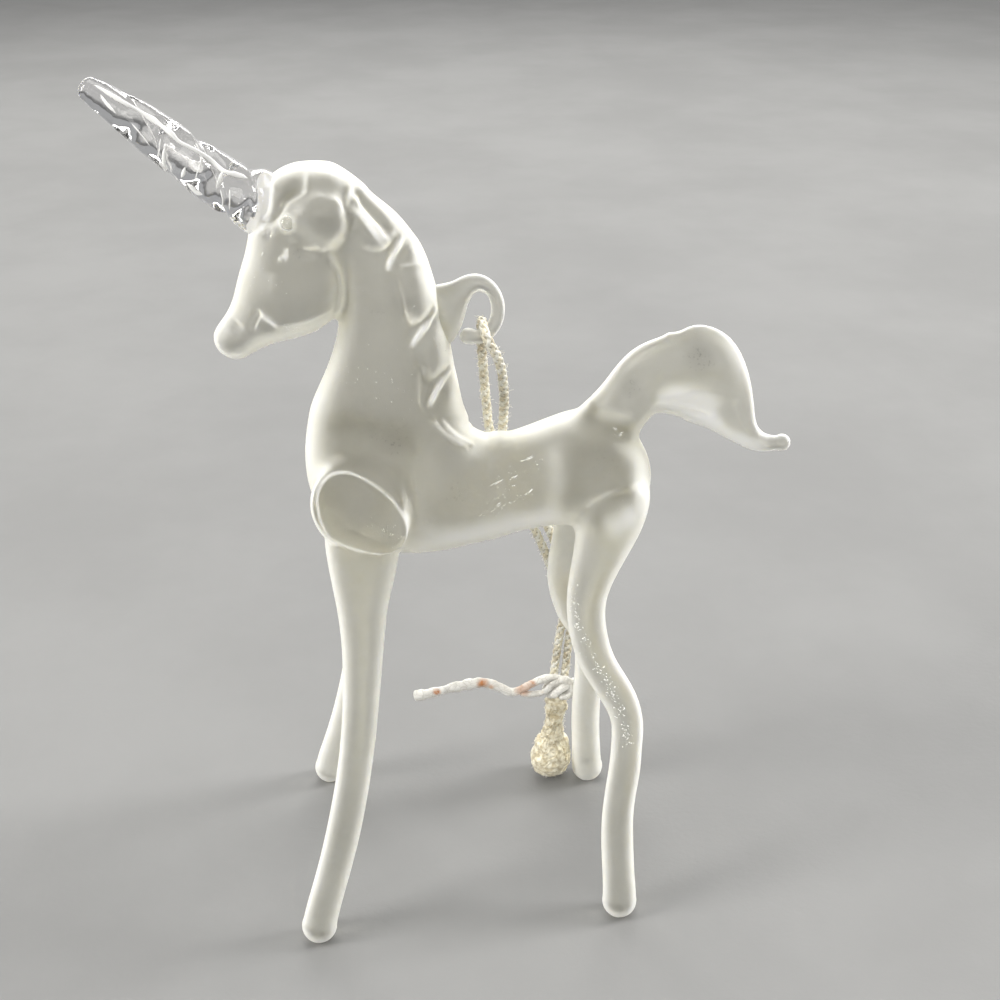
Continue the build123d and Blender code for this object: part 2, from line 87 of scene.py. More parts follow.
# --------------------------------------------------------------- node trees
class Tree:
    """Short calls for building one material's nodes."""

    def __init__(self, name):
        self.m = bpy.data.materials.new(name)
        self.m.use_nodes = True
        self.t = self.m.node_tree
        self.t.nodes.clear()
        self.out = self.n("ShaderNodeOutputMaterial")
        self.co = self.n("ShaderNodeTexCoord").outputs["Object"]

    def n(self, kind, **values):
        node = self.t.nodes.new(kind)
        for k, v in values.items():
            setattr(node, k, v)
        return node

    def link(self, a, b):
        self.t.links.new(a, b)

    def set(self, socket, value):
        if hasattr(value, "is_output"):
            self.link(value, socket)
        else:
            socket.default_value = value

    def noise(self, scale, detail=3.0, rough=0.55, distort=0.0, at=None):
        node = self.n("ShaderNodeTexNoise")
        node.inputs["Scale"].default_value = scale
        node.inputs["Detail"].default_value = detail
        node.inputs["Roughness"].default_value = rough
        node.inputs["Distortion"].default_value = distort
        self.link(at or self.co, node.inputs["Vector"])
        return node.outputs["Fac"]

    def voronoi(self, scale, feature="F1", random=1.0, at=None, out="Distance"):
        node = self.n("ShaderNodeTexVoronoi", feature=feature)
        node.inputs["Scale"].default_value = scale
        node.inputs["Randomness"].default_value = random
        self.link(at or self.co, node.inputs["Vector"])
        return node.outputs[out]

    def stretch(self, scale=(1, 1, 1), turn=(0, 0, 0), place=(0, 0, 0), at=None):
        node = self.n("ShaderNodeMapping")
        node.inputs["Scale"].default_value = scale
        node.inputs["Rotation"].default_value = turn
        node.inputs["Location"].default_value = place
        self.link(at or self.co, node.inputs["Vector"])
        return node.outputs["Vector"]

    def ramp(self, fac, stops, smooth=True):
        node = self.n("ShaderNodeValToRGB")
        node.color_ramp.interpolation = "EASE" if smooth else "LINEAR"
        els = node.color_ramp.elements
        while len(els) < len(stops):
            els.new(0.5)
        for e, (p, c) in zip(els, stops):
            e.position = p
            e.color = (*c, 1.0) if hasattr(c, "__len__") else (c, c, c, 1.0)
        self.link(fac, node.inputs["Fac"])
        return node.outputs["Color"]

    def math(self, op, a, b=0.0, clamp=False):
        node = self.n("ShaderNodeMath", operation=op, use_clamp=clamp)
        self.set(node.inputs[0], a)
        self.set(node.inputs[1], b)
        return node.outputs[0]

    def range(self, a, lo, hi, to_lo=0.0, to_hi=1.0):
        node = self.n("ShaderNodeMapRange", interpolation_type="SMOOTHSTEP")
        self.link(a, node.inputs["Value"])
        for k, v in (("From Min", lo), ("From Max", hi), ("To Min", to_lo), ("To Max", to_hi)):
            node.inputs[k].default_value = v
        return node.outputs["Result"]

    def mix(self, fac, a, b, kind="MIX"):
        node = self.n("ShaderNodeMix", data_type="RGBA", blend_type=kind)
        self.set(node.inputs["Factor"], fac)
        for socket, v in ((node.inputs["A"], a), (node.inputs["B"], b)):
            if hasattr(v, "is_output"):
                self.link(v, socket)
            else:
                socket.default_value = (*v, 1.0)
        return node.outputs["Result"]

    def near(self, point, radius, soft=0.5):
        """1 near a point (mm, row frame), fading to 0 at radius (mm)."""
        node = self.n("ShaderNodeVectorMath", operation="DISTANCE")
        self.link(self.co, node.inputs[0])
        node.inputs[1].default_value = tuple(c * MM for c in point)
        return self.range(node.outputs["Value"], radius * MM, radius * soft * MM)

    def attribute(self, name):
        return self.n("ShaderNodeAttribute", attribute_name=name).outputs

    def bump(self, height, strength, distance, after=None):
        node = self.n("ShaderNodeBump")
        node.inputs["Strength"].default_value = strength
        node.inputs["Distance"].default_value = distance
        self.link(height, node.inputs["Height"])
        if after is not None:
            self.link(after, node.inputs["Normal"])
        return node.outputs["Normal"]

    def principled(self, **values):
        node = self.n("ShaderNodeBsdfPrincipled")
        self.link(node.outputs[0], self.out.inputs["Surface"])
        for k, v in values.items():
            socket = node.inputs[k.replace("_", " ")]
            if hasattr(v, "is_output"):
                self.link(v, socket)
            elif hasattr(v, "__len__") and len(v) == 3 and socket.type == "RGBA":
                socket.default_value = (*v, 1.0)
            else:
                socket.default_value = v
        return node


def frosted_glass(name):
    """Acid-etched glass: milky, satin, cloudy inside, with pits. A value on the surface (-1..1)
    makes it whiter, with more white scatter, or greyer than elsewhere: partly the glass's own tone, partly painted
    light and painted shade."""
    t = Tree(name)
    milk_and_painted_light = t.attribute("milk_and_painted_light")["Fac"]
    cloud = t.noise(150, 4, 0.55)
    veil = t.noise(520, 3, 0.6)
    grain = t.noise(9000, 2, 0.6)
    base = t.ramp(cloud, [(0.30, (0.845, 0.835, 0.76)), (0.70, (0.925, 0.915, 0.845))])
    base = t.mix(t.range(veil, 0.42, 0.72, 0.0, 0.45), base, (0.95, 0.94, 0.875))
    # pits: small white specks, denser in patches; dark ones where the glass is greyer, which is partly painted shade
    pits = t.voronoi(1500)
    patch = t.range(t.noise(230, 2, 0.5), 0.50, 0.66)
    speck = t.math("MULTIPLY", t.range(pits, 0.16, 0.06), patch)
    greyer_and_shade = t.range(milk_and_painted_light, -0.15, -0.8)
    dark_pit = t.math("MULTIPLY", t.range(t.noise(1900, 3, 0.7), 0.56, 0.70), greyer_and_shade)
    # below 0 the glass is greyer, with dark pits: partly painted shade
    base = t.mix(t.math("MULTIPLY", greyer_and_shade, 0.50), base, (0.50, 0.49, 0.45))
    base = t.mix(t.math("MULTIPLY", dark_pit, 0.65), base, (0.22, 0.215, 0.20))
    # above 0 the glass is whiter: partly its own tone, partly painted light
    base = t.mix(t.range(milk_and_painted_light, 0.0, 1.0, 0.0, 0.92), base, (0.985, 0.975, 0.915))
    base = t.mix(speck, base, (0.97, 0.96, 0.92))
    rough = t.range(cloud, 0.25, 0.75, 0.38, 0.52)
    height = t.mix(0.4, grain, veil)
    normal = t.bump(height, 0.10, 0.0001)
    normal = t.bump(t.math("ADD", speck, dark_pit), 0.35, 0.00008, normal)
    # seen edge on, the etched surface scatters more and lets less through
    edge = t.n("ShaderNodeLayerWeight")
    edge.inputs["Blend"].default_value = 0.5
    through = t.range(edge.outputs["Facing"], 0.12, 0.68, 0.97, 0.08)
    through = t.math("MULTIPLY", through, t.range(milk_and_painted_light, 0.0, 1.0, 1.0, 0.25))
    t.principled(Base_Color=base, Roughness=rough, Normal=normal, IOR=1.46,
                 Transmission_Weight=through, Subsurface_Weight=0.85, Subsurface_Scale=0.0055,
                 Subsurface_Radius=(1.0, 0.97, 0.86),
                 Sheen_Weight=0.58, Sheen_Roughness=0.30, Sheen_Tint=(1.0, 0.98, 0.90),
                 Coat_Weight=0.0)
    depth = t.n("ShaderNodeVolumeAbsorption")
    depth.inputs["Color"].default_value = (0.80, 0.79, 0.76, 1.0)
    depth.inputs["Density"].default_value = 82.0
    t.link(depth.outputs[0], t.out.inputs["Volume"])
    return t.m


def bead_glass(name):
    """A small smoky bead, glossier than the etched glass round it."""
    t = Tree(name)
    cloud = t.noise(1500, 3, 0.6)
    base = t.ramp(cloud, [(0.35, (0.66, 0.655, 0.61)), (0.65, (0.86, 0.85, 0.80))])
    edge = t.n("ShaderNodeLayerWeight")
    edge.inputs["Blend"].default_value = 0.5
    through = t.range(edge.outputs["Facing"], 0.20, 0.70, 0.85, 0.15)
    t.principled(Base_Color=base, Roughness=t.range(cloud, 0.3, 0.7, 0.08, 0.20), IOR=1.5,
                 Transmission_Weight=through, Sheen_Weight=0.5, Sheen_Roughness=0.4, Normal=t.bump(t.noise(3000, 2), 0.15, 0.00005))
    return t.m


def white_streak(name, light, dark, through):
    """Whitish glass: painted highlights laid as streaks just inside the clear horn's surface, and chips in the etching.
    """
    t = Tree(name)
    cloud = t.noise(1300, 3, 0.6)
    base = t.mix(t.range(cloud, 0.35, 0.65), dark, light)
    t.principled(Base_Color=base, Roughness=t.range(cloud, 0.3, 0.7, 0.25, 0.5), IOR=1.46,
                 Transmission_Weight=through, Sheen_Weight=0.6, Sheen_Roughness=0.5,
                 Normal=t.bump(t.noise(3500, 2), 0.3, 0.00005))
    return t.m


def clear_glass(name):
    t = Tree(name)
    ripple = t.noise(420, 2, 0.5, 0.6)
    fine = t.noise(1700, 2, 0.5)
    normal = t.bump(t.mix(0.25, ripple, fine), 0.22, 0.0004)
    tint = t.ramp(t.noise(160, 2), [(0.3, (0.93, 0.92, 0.93)), (0.7, (0.985, 0.98, 0.975))])
    rough = t.range(t.noise(700, 2), 0.35, 0.75, 0.015, 0.06)
    # the outline catches the light, as thick clear glass does
    edge = t.n("ShaderNodeLayerWeight")
    edge.inputs["Blend"].default_value = 0.5
    through = t.range(edge.outputs["Facing"], 0.62, 0.97, 1.0, 0.30)
    t.principled(Base_Color=tint, Roughness=rough, IOR=1.5, Transmission_Weight=through, Normal=normal)
    return t.m


def metal_thread(name, light, dark, glint):
    t = Tree(name)
    along = t.noise(2600, 3, 0.6)
    patchy = t.noise(330, 3, 0.6)
    colour = t.mix(t.range(patchy, 0.35, 0.65), dark, light)
    colour = t.mix(t.range(along, 0.52, 0.75), colour, glint)
    normal = t.bump(t.noise(6500, 2, 0.6), 0.5, 0.00006)
    rough = t.range(along, 0.3, 0.7, 0.30, 0.55)
    t.principled(Base_Color=colour, Metallic=0.35, Roughness=rough, Normal=normal,
                 Sheen_Weight=0.35, Sheen_Roughness=0.5, Sheen_Tint=(1.0, 0.96, 0.85))
    return t.m


def fuzz_fibre(name, a, b):
    t = Tree(name)
    colour = t.mix(t.range(t.noise(1400, 2), 0.35, 0.65), a, b)
    t.principled(Base_Color=colour, Metallic=0.2, Roughness=0.5, Sheen_Weight=0.4,
                 Sheen_Roughness=0.5, Normal=t.bump(t.noise(5000, 2), 0.3, 0.00003))
    return t.m


def tie_paper(name):
    t = Tree(name)
    crease = t.voronoi(820, "DISTANCE_TO_EDGE", at=t.stretch((1.0, 1.6, 1.6)))
    fibre = t.noise(2400, 4, 0.65)
    colour = t.ramp(t.noise(420, 4, 0.6), [(0.3, (0.64, 0.62, 0.57)), (0.7, (0.93, 0.92, 0.88))])
    # painted shade: the paper darkens into its creases
    colour = t.mix(t.range(crease, 0.06, 0.0, 0.0, 0.5), colour, (0.42, 0.39, 0.34))
    blotch = t.range(t.noise(700, 4, 0.7), 0.50, 0.68)
    spots = ((2.7, 12.9, 19.1, 1.2), (-4.1, 12.9, 18.0, 0.85), (8.6, 12.9, 17.9, 1.6), (9.9, 12.9, 18.8, 1.4),
             (3.9, 13.0, 18.5, 0.6))
    for x, y, z, r in spots:
        mask = t.math("MULTIPLY", t.near((x, y, z), r, 0.3), t.math("ADD", blotch, 0.55, True))
        colour = t.mix(t.math("MULTIPLY", mask, 0.95), colour, (0.52, 0.19, 0.045))
    faint = t.math("MULTIPLY", t.range(t.noise(260, 3, 0.6), 0.60, 0.75), 0.35)
    colour = t.mix(faint, colour, (0.58, 0.36, 0.16))
    normal = t.bump(fibre, 0.5, 0.00008)
    normal = t.bump(crease, 0.7, 0.00012, normal)
    t.principled(Base_Color=colour, Roughness=t.range(fibre, 0.3, 0.7, 0.55, 0.8), Normal=normal,
                 Sheen_Weight=0.15, Sheen_Roughness=0.5)
    return t.m


MATERIALS = {
    "frosted": frosted_glass("frosted_glass"),
    "eye_glass": frosted_glass("satin_rod_glass"),
    "bead": bead_glass("bead_glass"),
    # painted highlights on the horn, laid as white streaks
    "streak": white_streak("horn_highlight_streak", (0.995, 0.99, 0.97), (0.96, 0.96, 0.94), 0.0),
    "chip": white_streak("etching_chip", (0.99, 0.985, 0.95), (0.90, 0.89, 0.84), 0.0),
    "clear": clear_glass("clear_glass"),
    # the core is darker than the threads: partly the cord's own core, partly painted shade in the gaps of the braid
    "core": metal_thread("cord_core", (0.60, 0.56, 0.44), (0.36, 0.32, 0.23), (0.78, 0.74, 0.61)),
    "silver": metal_thread("thread_silver", (0.92, 0.905, 0.83), (0.66, 0.63, 0.53), (0.99, 0.985, 0.94)),
    "gold": metal_thread("thread_gold", (0.87, 0.82, 0.66), (0.58, 0.50, 0.36), (0.98, 0.95, 0.85)),
    "fuzz": fuzz_fibre("fuzz_fibre", (0.90, 0.88, 0.78), (0.66, 0.62, 0.50)),
    "knot": fuzz_fibre("knot_thread", (0.90, 0.85, 0.69), (0.58, 0.50, 0.33)),
    "paper": tie_paper("tie_paper"),
}


# ------------------------------------------------------------- mesh helpers
def smooth_noise(points, scale, seed=0.0):
    """Noise in -1..1 at points (mm), with features of about scale mm."""
    off = Vector((seed * 17.3, seed * 5.1, -seed * 9.7))
    return np.array([noise.noise(Vector(p) / scale + off) for p in points])


def lengths_along(path):
    return np.concatenate([[0.0], np.cumsum(np.linalg.norm(np.diff(path, axis=0), axis=1))])


def resample(path, step):
    """Points every step mm or so along a fine line."""
    path = np.asarray(path, float)
    s = lengths_along(path)
    n = max(int(round(s[-1] / step)), 2)
    t = np.linspace(0, s[-1], n + 1)
    return np.stack([np.interp(t, s, path[:, k]) for k in range(3)], 1)


def curve_through(points, step=0.15):
    """A Catmull-Rom line through points (any columns), sampled every step mm."""
    p = np.asarray(points, float)
    p = np.vstack([2 * p[0] - p[1], p, 2 * p[-1] - p[-2]])
    out = []
    for i in range(1, len(p) - 2):
        a, b, c, d = p[i - 1 : i + 3]
        n = max(int(np.linalg.norm((c - b)[:3]) / step), 2)
        t = np.linspace(0, 1, n, endpoint=False)[:, None]
        out.append(0.5 * (2 * b + (c - a) * t + (2 * a - 5 * b + 4 * c - d) * t**2 + (-a + 3 * b - 3 * c + d) * t**3))
    out.append(p[-2][None])
    return np.vstack(out)


def frames_along(path, first=(0, 1, 0)):
    """Side and up vectors along a line, turning as little as they can."""
    path = np.asarray(path, float)
    tangent = np.gradient(path, axis=0)
    tangent /= np.linalg.norm(tangent, axis=1)[:, None]
    side = np.zeros_like(path)
    s = np.array(first, float)
    for i, t in enumerate(tangent):
        s = s - t * (s @ t)
        s /= np.linalg.norm(s)
        side[i] = s
    return tangent, side, np.cross(tangent, side)


class Shape:
    """Collects closed tubes and rings into one mesh (mm, row frame)."""

    def __init__(self):
        self.v, self.f, self.n, self.tone = [], [], 0, []

    def add(self, verts, faces, tone=0.5):
        verts = np.asarray(verts, float)
        self.v.append(verts)
        self.f += [tuple(int(i) + self.n for i in f) for f in faces]
        self.tone += [tone] * len(verts)
        self.n += len(verts)

    def sweep(self, path, wide, thick=None, sides=8, frames=None, tone=0.5, spin=None):
        """A closed tube: wide and thick are half sizes across side and up."""
        path = np.asarray(path, float)
        n = len(path)
        wide = np.broadcast_to(wide, n).astype(float)
        thick = wide if thick is None else np.broadcast_to(thick, n).astype(float)
        _, side, up = frames or frames_along(path)
        a = np.linspace(0, 2 * math.pi, sides, endpoint=False)
        if spin is not None:
            c, s = np.cos(spin)[:, None], np.sin(spin)[:, None]
            side, up = side * c + up * s, up * c - side * s
        rings = (path[:, None] + side[:, None] * (np.cos(a)[None, :, None] * wide[:, None, None])
                 + up[:, None] * (np.sin(a)[None, :, None] * thick[:, None, None]))
        verts = np.vstack([rings.reshape(-1, 3), path[:1], path[-1:]])
        faces = []
        for i in range(n - 1):
            b = i * sides
            for k in range(sides):
                k2 = (k + 1) % sides
                faces.append((b + k, b + k2, b + sides + k2, b + sides + k))
        end = (n - 1) * sides
        for k in range(sides):
            k2 = (k + 1) % sides
            faces.append((n * sides, k2, k))
            faces.append((n * sides + 1, end + k, end + k2))
        self.add(verts, faces, tone)

    def make(self, name, material, body, slot=None, replaces=()):
        me = bpy.data.meshes.new(name)
        me.from_pydata((np.vstack(self.v) * MM).tolist(), [], self.f)
        me.update()
        me.shade_smooth()
        at = me.attributes.new("tone", "FLOAT", "POINT")
        at.data.foreach_set("value", np.array(self.tone, np.float32))
        return place(me, name, material, body, slot, replaces)


def place(me, name, material, body, slot=None, replaces=()):
    me.materials.clear()
    me.materials.append(MATERIALS[material])
    ob = bpy.data.objects.new(name, me)
    scene.collection.objects.link(ob)
    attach(ob, body)
    if replaces:
        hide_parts(*replaces)
    return ob


def hairs(shape, path, frames, radius, count, seed, length=(0.3, 1.0), curl=0.8, wide=0.026, spread=1.0):
    """Short curled fibres standing out of a line of thread."""
    rng = random.Random(seed)
    tangent, side, up = frames
    for _ in range(count):
        i = rng.randrange(2, len(path) - 2)
        a = rng.uniform(0, 2 * math.pi)
        out = side[i] * math.cos(a) + up[i] * math.sin(a)
        r = radius[i] if hasattr(radius, "__len__") else radius
        across = np.cross(tangent[i], out)
        lean = tangent[i] * rng.uniform(-0.9, 0.9) * spread + across * rng.uniform(-0.7, 0.7)
        d = out + lean
        d /= np.linalg.norm(d)
        bend = np.cross(d, np.array([rng.uniform(-1, 1) for _ in range(3)]))
        bend /= max(np.linalg.norm(bend), 1e-6)
        size = rng.uniform(*length) * rng.uniform(0.6, 1.0)
        t = np.linspace(0, 1, 6)[:, None]
        ang = curl * rng.uniform(0.3, 2.2)
        line = path[i] + out * (r * 0.85) + size * (d * np.sin(ang * t) / ang + bend * (1 - np.cos(ang * t)) / ang)
        shape.sweep(line, wide * np.array([1.0, 1.0, 0.95, 0.85, 0.7, 0.35]), sides=4, tone=rng.random())


# -------------------------------------------------------------------- cord
KNOT_TOP = np.array([9.40, 14.20, 15.30])
CORD_STRAIGHT = np.array([10.20, 12.97, 30.30])
DOWN = (KNOT_TOP - CORD_STRAIGHT) / np.linalg.norm(KNOT_TOP - CORD_STRAIGHT)
ACROSS = np.array([1.0, 0, 0]) - DOWN * DOWN[0]
ACROSS /= np.linalg.norm(ACROSS)
FACING = np.cross(ACROSS, DOWN)
SPREAD = 0.85
CORD_ROUTE = row([
    KNOT_TOP + ACROSS * SPREAD,
    (10.50, 13.85, 20.2),
    (10.72, 13.52, 23.6),
    (10.93, 13.20, 27.3),
    (11.42, 12.86, 30.9),
    (10.05, 11.4, 38.7),
    (7.20, 10.1, 46.9),
    (3.70, 9.2, 54.2),
    (0.65, 8.05, 60.9),
    (0.75, 4.65, 65.6),
    (0.60, 1.0, 71.1),
    (-0.10, -1.75, 76.2),
    (-1.95, -3.13, 79.78),
    (-2.25, 0.02, 81.30),
    (-2.10, 2.35, 76.30),
    (-1.55, 4.9, 69.4),
    (-0.85, 8.15, 61.3),
    (2.10, 9.3, 53.4),
    (5.60, 10.2, 46.1),
    (8.35, 11.45, 38.3),
    (10.05, 12.90, 30.9),
    (9.50, 13.20, 27.3),
    (9.15, 13.52, 23.6),
    (8.85, 13.85, 20.2),
    KNOT_TOP - ACROSS * SPREAD,
])


def nurbs(name, points, bevel=0.0):
    cu = bpy.data.curves.new(name, "CURVE")
    cu.dimensions = "3D"
    cu.resolution_u = 24
    sp = cu.splines.new("NURBS")
    sp.points.add(len(points) - 1)
    for p, q in zip(sp.points, points):
        p.co = (*(np.asarray(q) * MM), 1.0)
    sp.order_u = 3
    sp.use_endpoint_u = True
    if bevel:
        cu.bevel_depth = bevel * MM
        cu.bevel_resolution = 4
        cu.use_fill_caps = True
    return cu


def line_of(points):
    """The NURBS spline's own line, read back from Blender (mm)."""
    ob = bpy.data.objects.new("line", nurbs("line", points))
    scene.collection.objects.link(ob)
    bpy.context.view_layer.update()
    me = bpy.data.meshes.new_from_object(ob.evaluated_get(bpy.context.evaluated_depsgraph_get()))
    co = np.array([v.co for v in me.vertices]) / MM
    bpy.data.objects.remove(ob)
    bpy.data.meshes.remove(me)
    return co


centre = line_of(CORD_ROUTE)
cord_data = nurbs("cord_core", CORD_ROUTE, 0.49)
cord = bpy.data.objects.new("cord_core", cord_data)
cord_data.materials.append(MATERIALS["core"])
scene.collection.objects.link(cord)
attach(cord, "hanging_loop")
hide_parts("cord_loop")

fine = resample(centre, 0.13)
fine_frames = frames_along(fine, (1, 0, 0))
s_cord = lengths_along(fine)
PITCH = 4.4
silver, gold = Shape(), Shape()
for way in (1, -1):
    for k in range(4):
        theta = way * 2 * math.pi * s_cord / PITCH + k * math.pi / 2 + (0 if way > 0 else 0.0)
        lift = 0.445 + way * 0.075 * np.cos(8 * math.pi * s_cord / PITCH)
        _, side, up = fine_frames
        out = side * np.cos(theta)[:, None] + up * np.sin(theta)[:, None]
        path = fine + out * lift[:, None]
        along = np.gradient(path, axis=0)
        along /= np.linalg.norm(along, axis=1)[:, None]
        flat = np.cross(along, out)
        flat /= np.linalg.norm(flat, axis=1)[:, None]
        (silver if (k + (way > 0)) % 2 else gold).sweep(
            path, 0.235, 0.105, 6, (along, flat, np.cross(along, flat)), tone=0.2 + 0.2 * k)
silver_braid = silver.make("cord_braid_silver", "silver", "hanging_loop", "braided_cord")
gold_braid = gold.make("cord_braid_gold", "gold", "hanging_loop", "braided_cord")
fuzz = Shape()
hairs(fuzz, fine, fine_frames, 0.56, 1300, 7, (0.25, 0.95), 1.3, 0.024)
cord_fuzz = fuzz.make("cord_fuzz", "fuzz", "hanging_loop", "braided_cord")

# ---------------------------------------------------------------- end knot
knot_top = row(KNOT_TOP)
KNOT = [(1.45, 0.0), (1.72, 0.9), (1.60, 2.1), (1.34, 3.3), (1.30, 5.4), (1.62, 7.2), (2.55, 9.2), (3.08, 11.2),
        (3.05, 12.6), (2.45, 14.0), (1.3, 14.8)]
profile = curve_through([(r, d, 0) for r, d in KNOT], 0.12)
rings, sides = len(profile), 48
ang = np.linspace(0, 2 * math.pi, sides, endpoint=False)
core_v = []
for r, d, _ in profile:
    mid = knot_top + DOWN * d
    core_v += [mid + (ACROSS * math.cos(a) + FACING * math.sin(a)) * r * 0.95 for a in ang]
core_v = np.array(core_v)
axis_pt = knot_top + np.outer((core_v - knot_top) @ DOWN, DOWN)
radial = core_v - axis_pt
radial /= np.linalg.norm(radial, axis=1)[:, None]
lump = 0.50 * smooth_noise(core_v, 1.7, 1) + 0.22 * smooth_noise(core_v, 0.7, 2) + 0.08 * smooth_noise(core_v, 0.3, 4)
lump -= 0.06
core_v = core_v + radial * lump[:, None]
knot = Shape()
faces = []
for i in range(rings - 1):
    for k in range(sides):
        k2 = (k + 1) % sides
        faces.append((i * sides + k, (i + 1) * sides + k, (i + 1) * sides + k2, i * sides + k2))
top_i, bot_i = rings * sides, rings * sides + 1
for k in range(sides):
    k2 = (k + 1) % sides
    faces += [(top_i, k, k2), (bot_i, (rings - 1) * sides + k2, (rings - 1) * sides + k)]
core_v = np.vstack([core_v, knot_top + DOWN * 0.1, knot_top + DOWN * 14.75])
knot.add(core_v, faces, 0.35)


def knot_radius(d):
    return np.interp(d, [p[1] for p in KNOT], [p[0] for p in KNOT])


rng = random.Random(11)
for k in range(9):
    # thick turns of the knotted cord, mostly sunk in the frayed thread
    d0 = rng.uniform(9.2, 13.2)
    turns = rng.uniform(0.3, 0.6)
    a0 = rng.uniform(0, 2 * math.pi)
    tilt = rng.uniform(-2.2, 2.2)
    phase = rng.uniform(0, 2 * math.pi)
    t = np.linspace(0, 1, 46)
    a = a0 + turns * 2 * math.pi * t
    d = np.clip(d0 + tilt * np.sin(a + phase), 0.3, 14.0)
    r = knot_radius(d) * 0.86 + 0.1 * np.sin(3 * a + phase)
    line = knot_top + np.outer(d, DOWN) + (np.outer(np.cos(a), ACROSS) + np.outer(np.sin(a), FACING)) * r[:, None]
    taper = np.minimum(1, np.minimum(t, 1 - t) * 5 + 0.1)
    knot.sweep(line, rng.uniform(0.42, 0.60) * taper, rng.uniform(0.28, 0.4) * taper, 9, tone=rng.random())
for k in range(190):
    # frayed thread lying over the bulbs and down the neck, every way
    a0 = rng.uniform(0, 2 * math.pi)
    start = rng.uniform(0.2, 13.6) if k % 3 else rng.uniform(8.0, 13.6)
    long = rng.uniform(1.4, 4.2)
    way = rng.uniform(-1.2, 1.2)
    t = np.linspace(0, 1, 20)
    d = np.clip(start + long * math.cos(way) * t, 0.15, 14.3)
    r0 = knot_radius(d)
    a = a0 + long * math.sin(way) * t / r0 + 0.12 * np.sin(t * rng.uniform(4, 9))
    mid = knot_top + np.outer(d, DOWN)
    out = np.outer(np.cos(a), ACROSS) + np.outer(np.sin(a), FACING)
    skin_r = r0 * 0.95 - 0.10 + 0.50 * smooth_noise(mid + out * r0[:, None], 1.7, 1) + 0.2 * smooth_noise(
        mid + out * r0[:, None], 0.7, 2)
    line = mid + out * (skin_r + 0.02 + 0.10 * np.sin(t * math.pi) * rng.random())[:, None]
    taper = np.minimum(1, np.minimum(t, 1 - t) * 8 + 0.2)
    knot.sweep(line, rng.uniform(0.05, 0.115) * taper, sides=5, tone=rng.random())
end_knot = knot.make("knot_wound_thread", "knot", "hanging_loop", "frayed_knot", ["end_knot"])
fray = Shape()
d = np.linspace(0.2, 14.4, 120)
axis_line = knot_top + np.outer(d, DOWN)
hairs(fray, axis_line, frames_along(axis_line, (1, 0, 0)), knot_radius(d), 900, 3, (0.3, 1.15), 1.6, 0.026, 1.0)
knot_fray = fray.make("knot_fray", "fuzz", "hanging_loop", "frayed_knot")

# --------------------------------------------------------------- twist tie
TIE_TAIL = row([(9.50, 12.65, 20.0), (7.72, 12.7, 19.85), (5.53, 12.8, 18.89), (3.78, 13.0, 17.67), (2.47, 13.3, 17.16),
                (0.54, 13.3, 18.18), (-1.52, 13.3, 19.03), (-3.14, 13.3, 18.90), (-5.65, 13.3, 18.42), (-8.54, 13.3, 17.65),
                (-10.39, 13.3, 17.29), (-11.94, 13.3, 17.09)])
TIE_BRANCH = row([(9.75, 12.3, 19.5), (8.59, 12.4, 18.96), (7.74, 12.6, 17.78), (6.73, 12.8, 17.11), (4.96, 12.9, 16.93),
                  (3.78, 13.0, 17.25)])


def crumpled(shape, points, wide, thick, seed, sides=14, ends=(0.5, 0.5)):
    """Paper-covered wire: a flat strip with a wire down its middle, crumpled."""
    path = curve_through(points, 0.1)
    n = len(path)
    s = lengths_along(path)
    _, side, up = frames_along(path, (0, 0, 1))
    a = np.linspace(0, 2 * math.pi, sides, endpoint=False)
    wob = smooth_noise(np.stack([s, s * 0, s * 0], 1), 1.4, seed)
    spin = 0.5 * smooth_noise(np.stack([s, s * 0, s * 0], 1), 3.0, seed + 3) + 0.3 * wob
    if hasattr(wide, "__len__"):
        wide = np.interp(s / s[-1], [0, 0.16, 0.32, 0.5, 0.7, 1], wide)
    w = wide * (1 + 0.18 * smooth_noise(np.stack([s, s * 0, s * 0], 1), 0.9, seed + 5))
    h = thick * (1 + 0.30 * smooth_noise(np.stack([s, s * 0, s * 0], 1), 0.7, seed + 7))
    for end, at in zip(ends, (s, s[-1] - s)):
        k = np.sqrt(np.clip(1 - (1 - np.clip(at / end, 0, 1)) ** 2, 0.02, 1))
        w, h = w * k, h * k
    c, q = np.cos(spin)[:, None], np.sin(spin)[:, None]
    s1, u1 = side * c + up * q, up * c - side * q
    ca, sa = np.cos(a), np.sin(a)
    ridge = 0.72 + 0.45 * np.exp(-((ca / 0.30) ** 2))       # the wire under the paper
    rings = (path[:, None] + s1[:, None] * (ca[None, :, None] * w[:, None, None])
             + u1[:, None] * ((sa * ridge)[None, :, None] * h[:, None, None]))
    flat = rings.reshape(-1, 3)
    crump = 0.055 * smooth_noise(flat, 0.42, seed + 11) + 0.05 * smooth_noise(flat, 0.9, seed + 13)
    out = flat - np.repeat(path, sides, axis=0)
    out /= np.maximum(np.linalg.norm(out, axis=1)[:, None], 1e-6)
    flat = flat + out * crump[:, None]
    verts = np.vstack([flat, path[:1], path[-1:]])
    faces = []
    for i in range(n - 1):
        for k in range(sides):
            k2 = (k + 1) % sides
            faces.append((i * sides + k, i * sides + k2, (i + 1) * sides + k2, (i + 1) * sides + k))
    for k in range(sides):
        k2 = (k + 1) % sides
        faces += [(n * sides, k2, k), (n * sides + 1, (n - 1) * sides + k, (n - 1) * sides + k2)]
    shape.add(verts, faces)


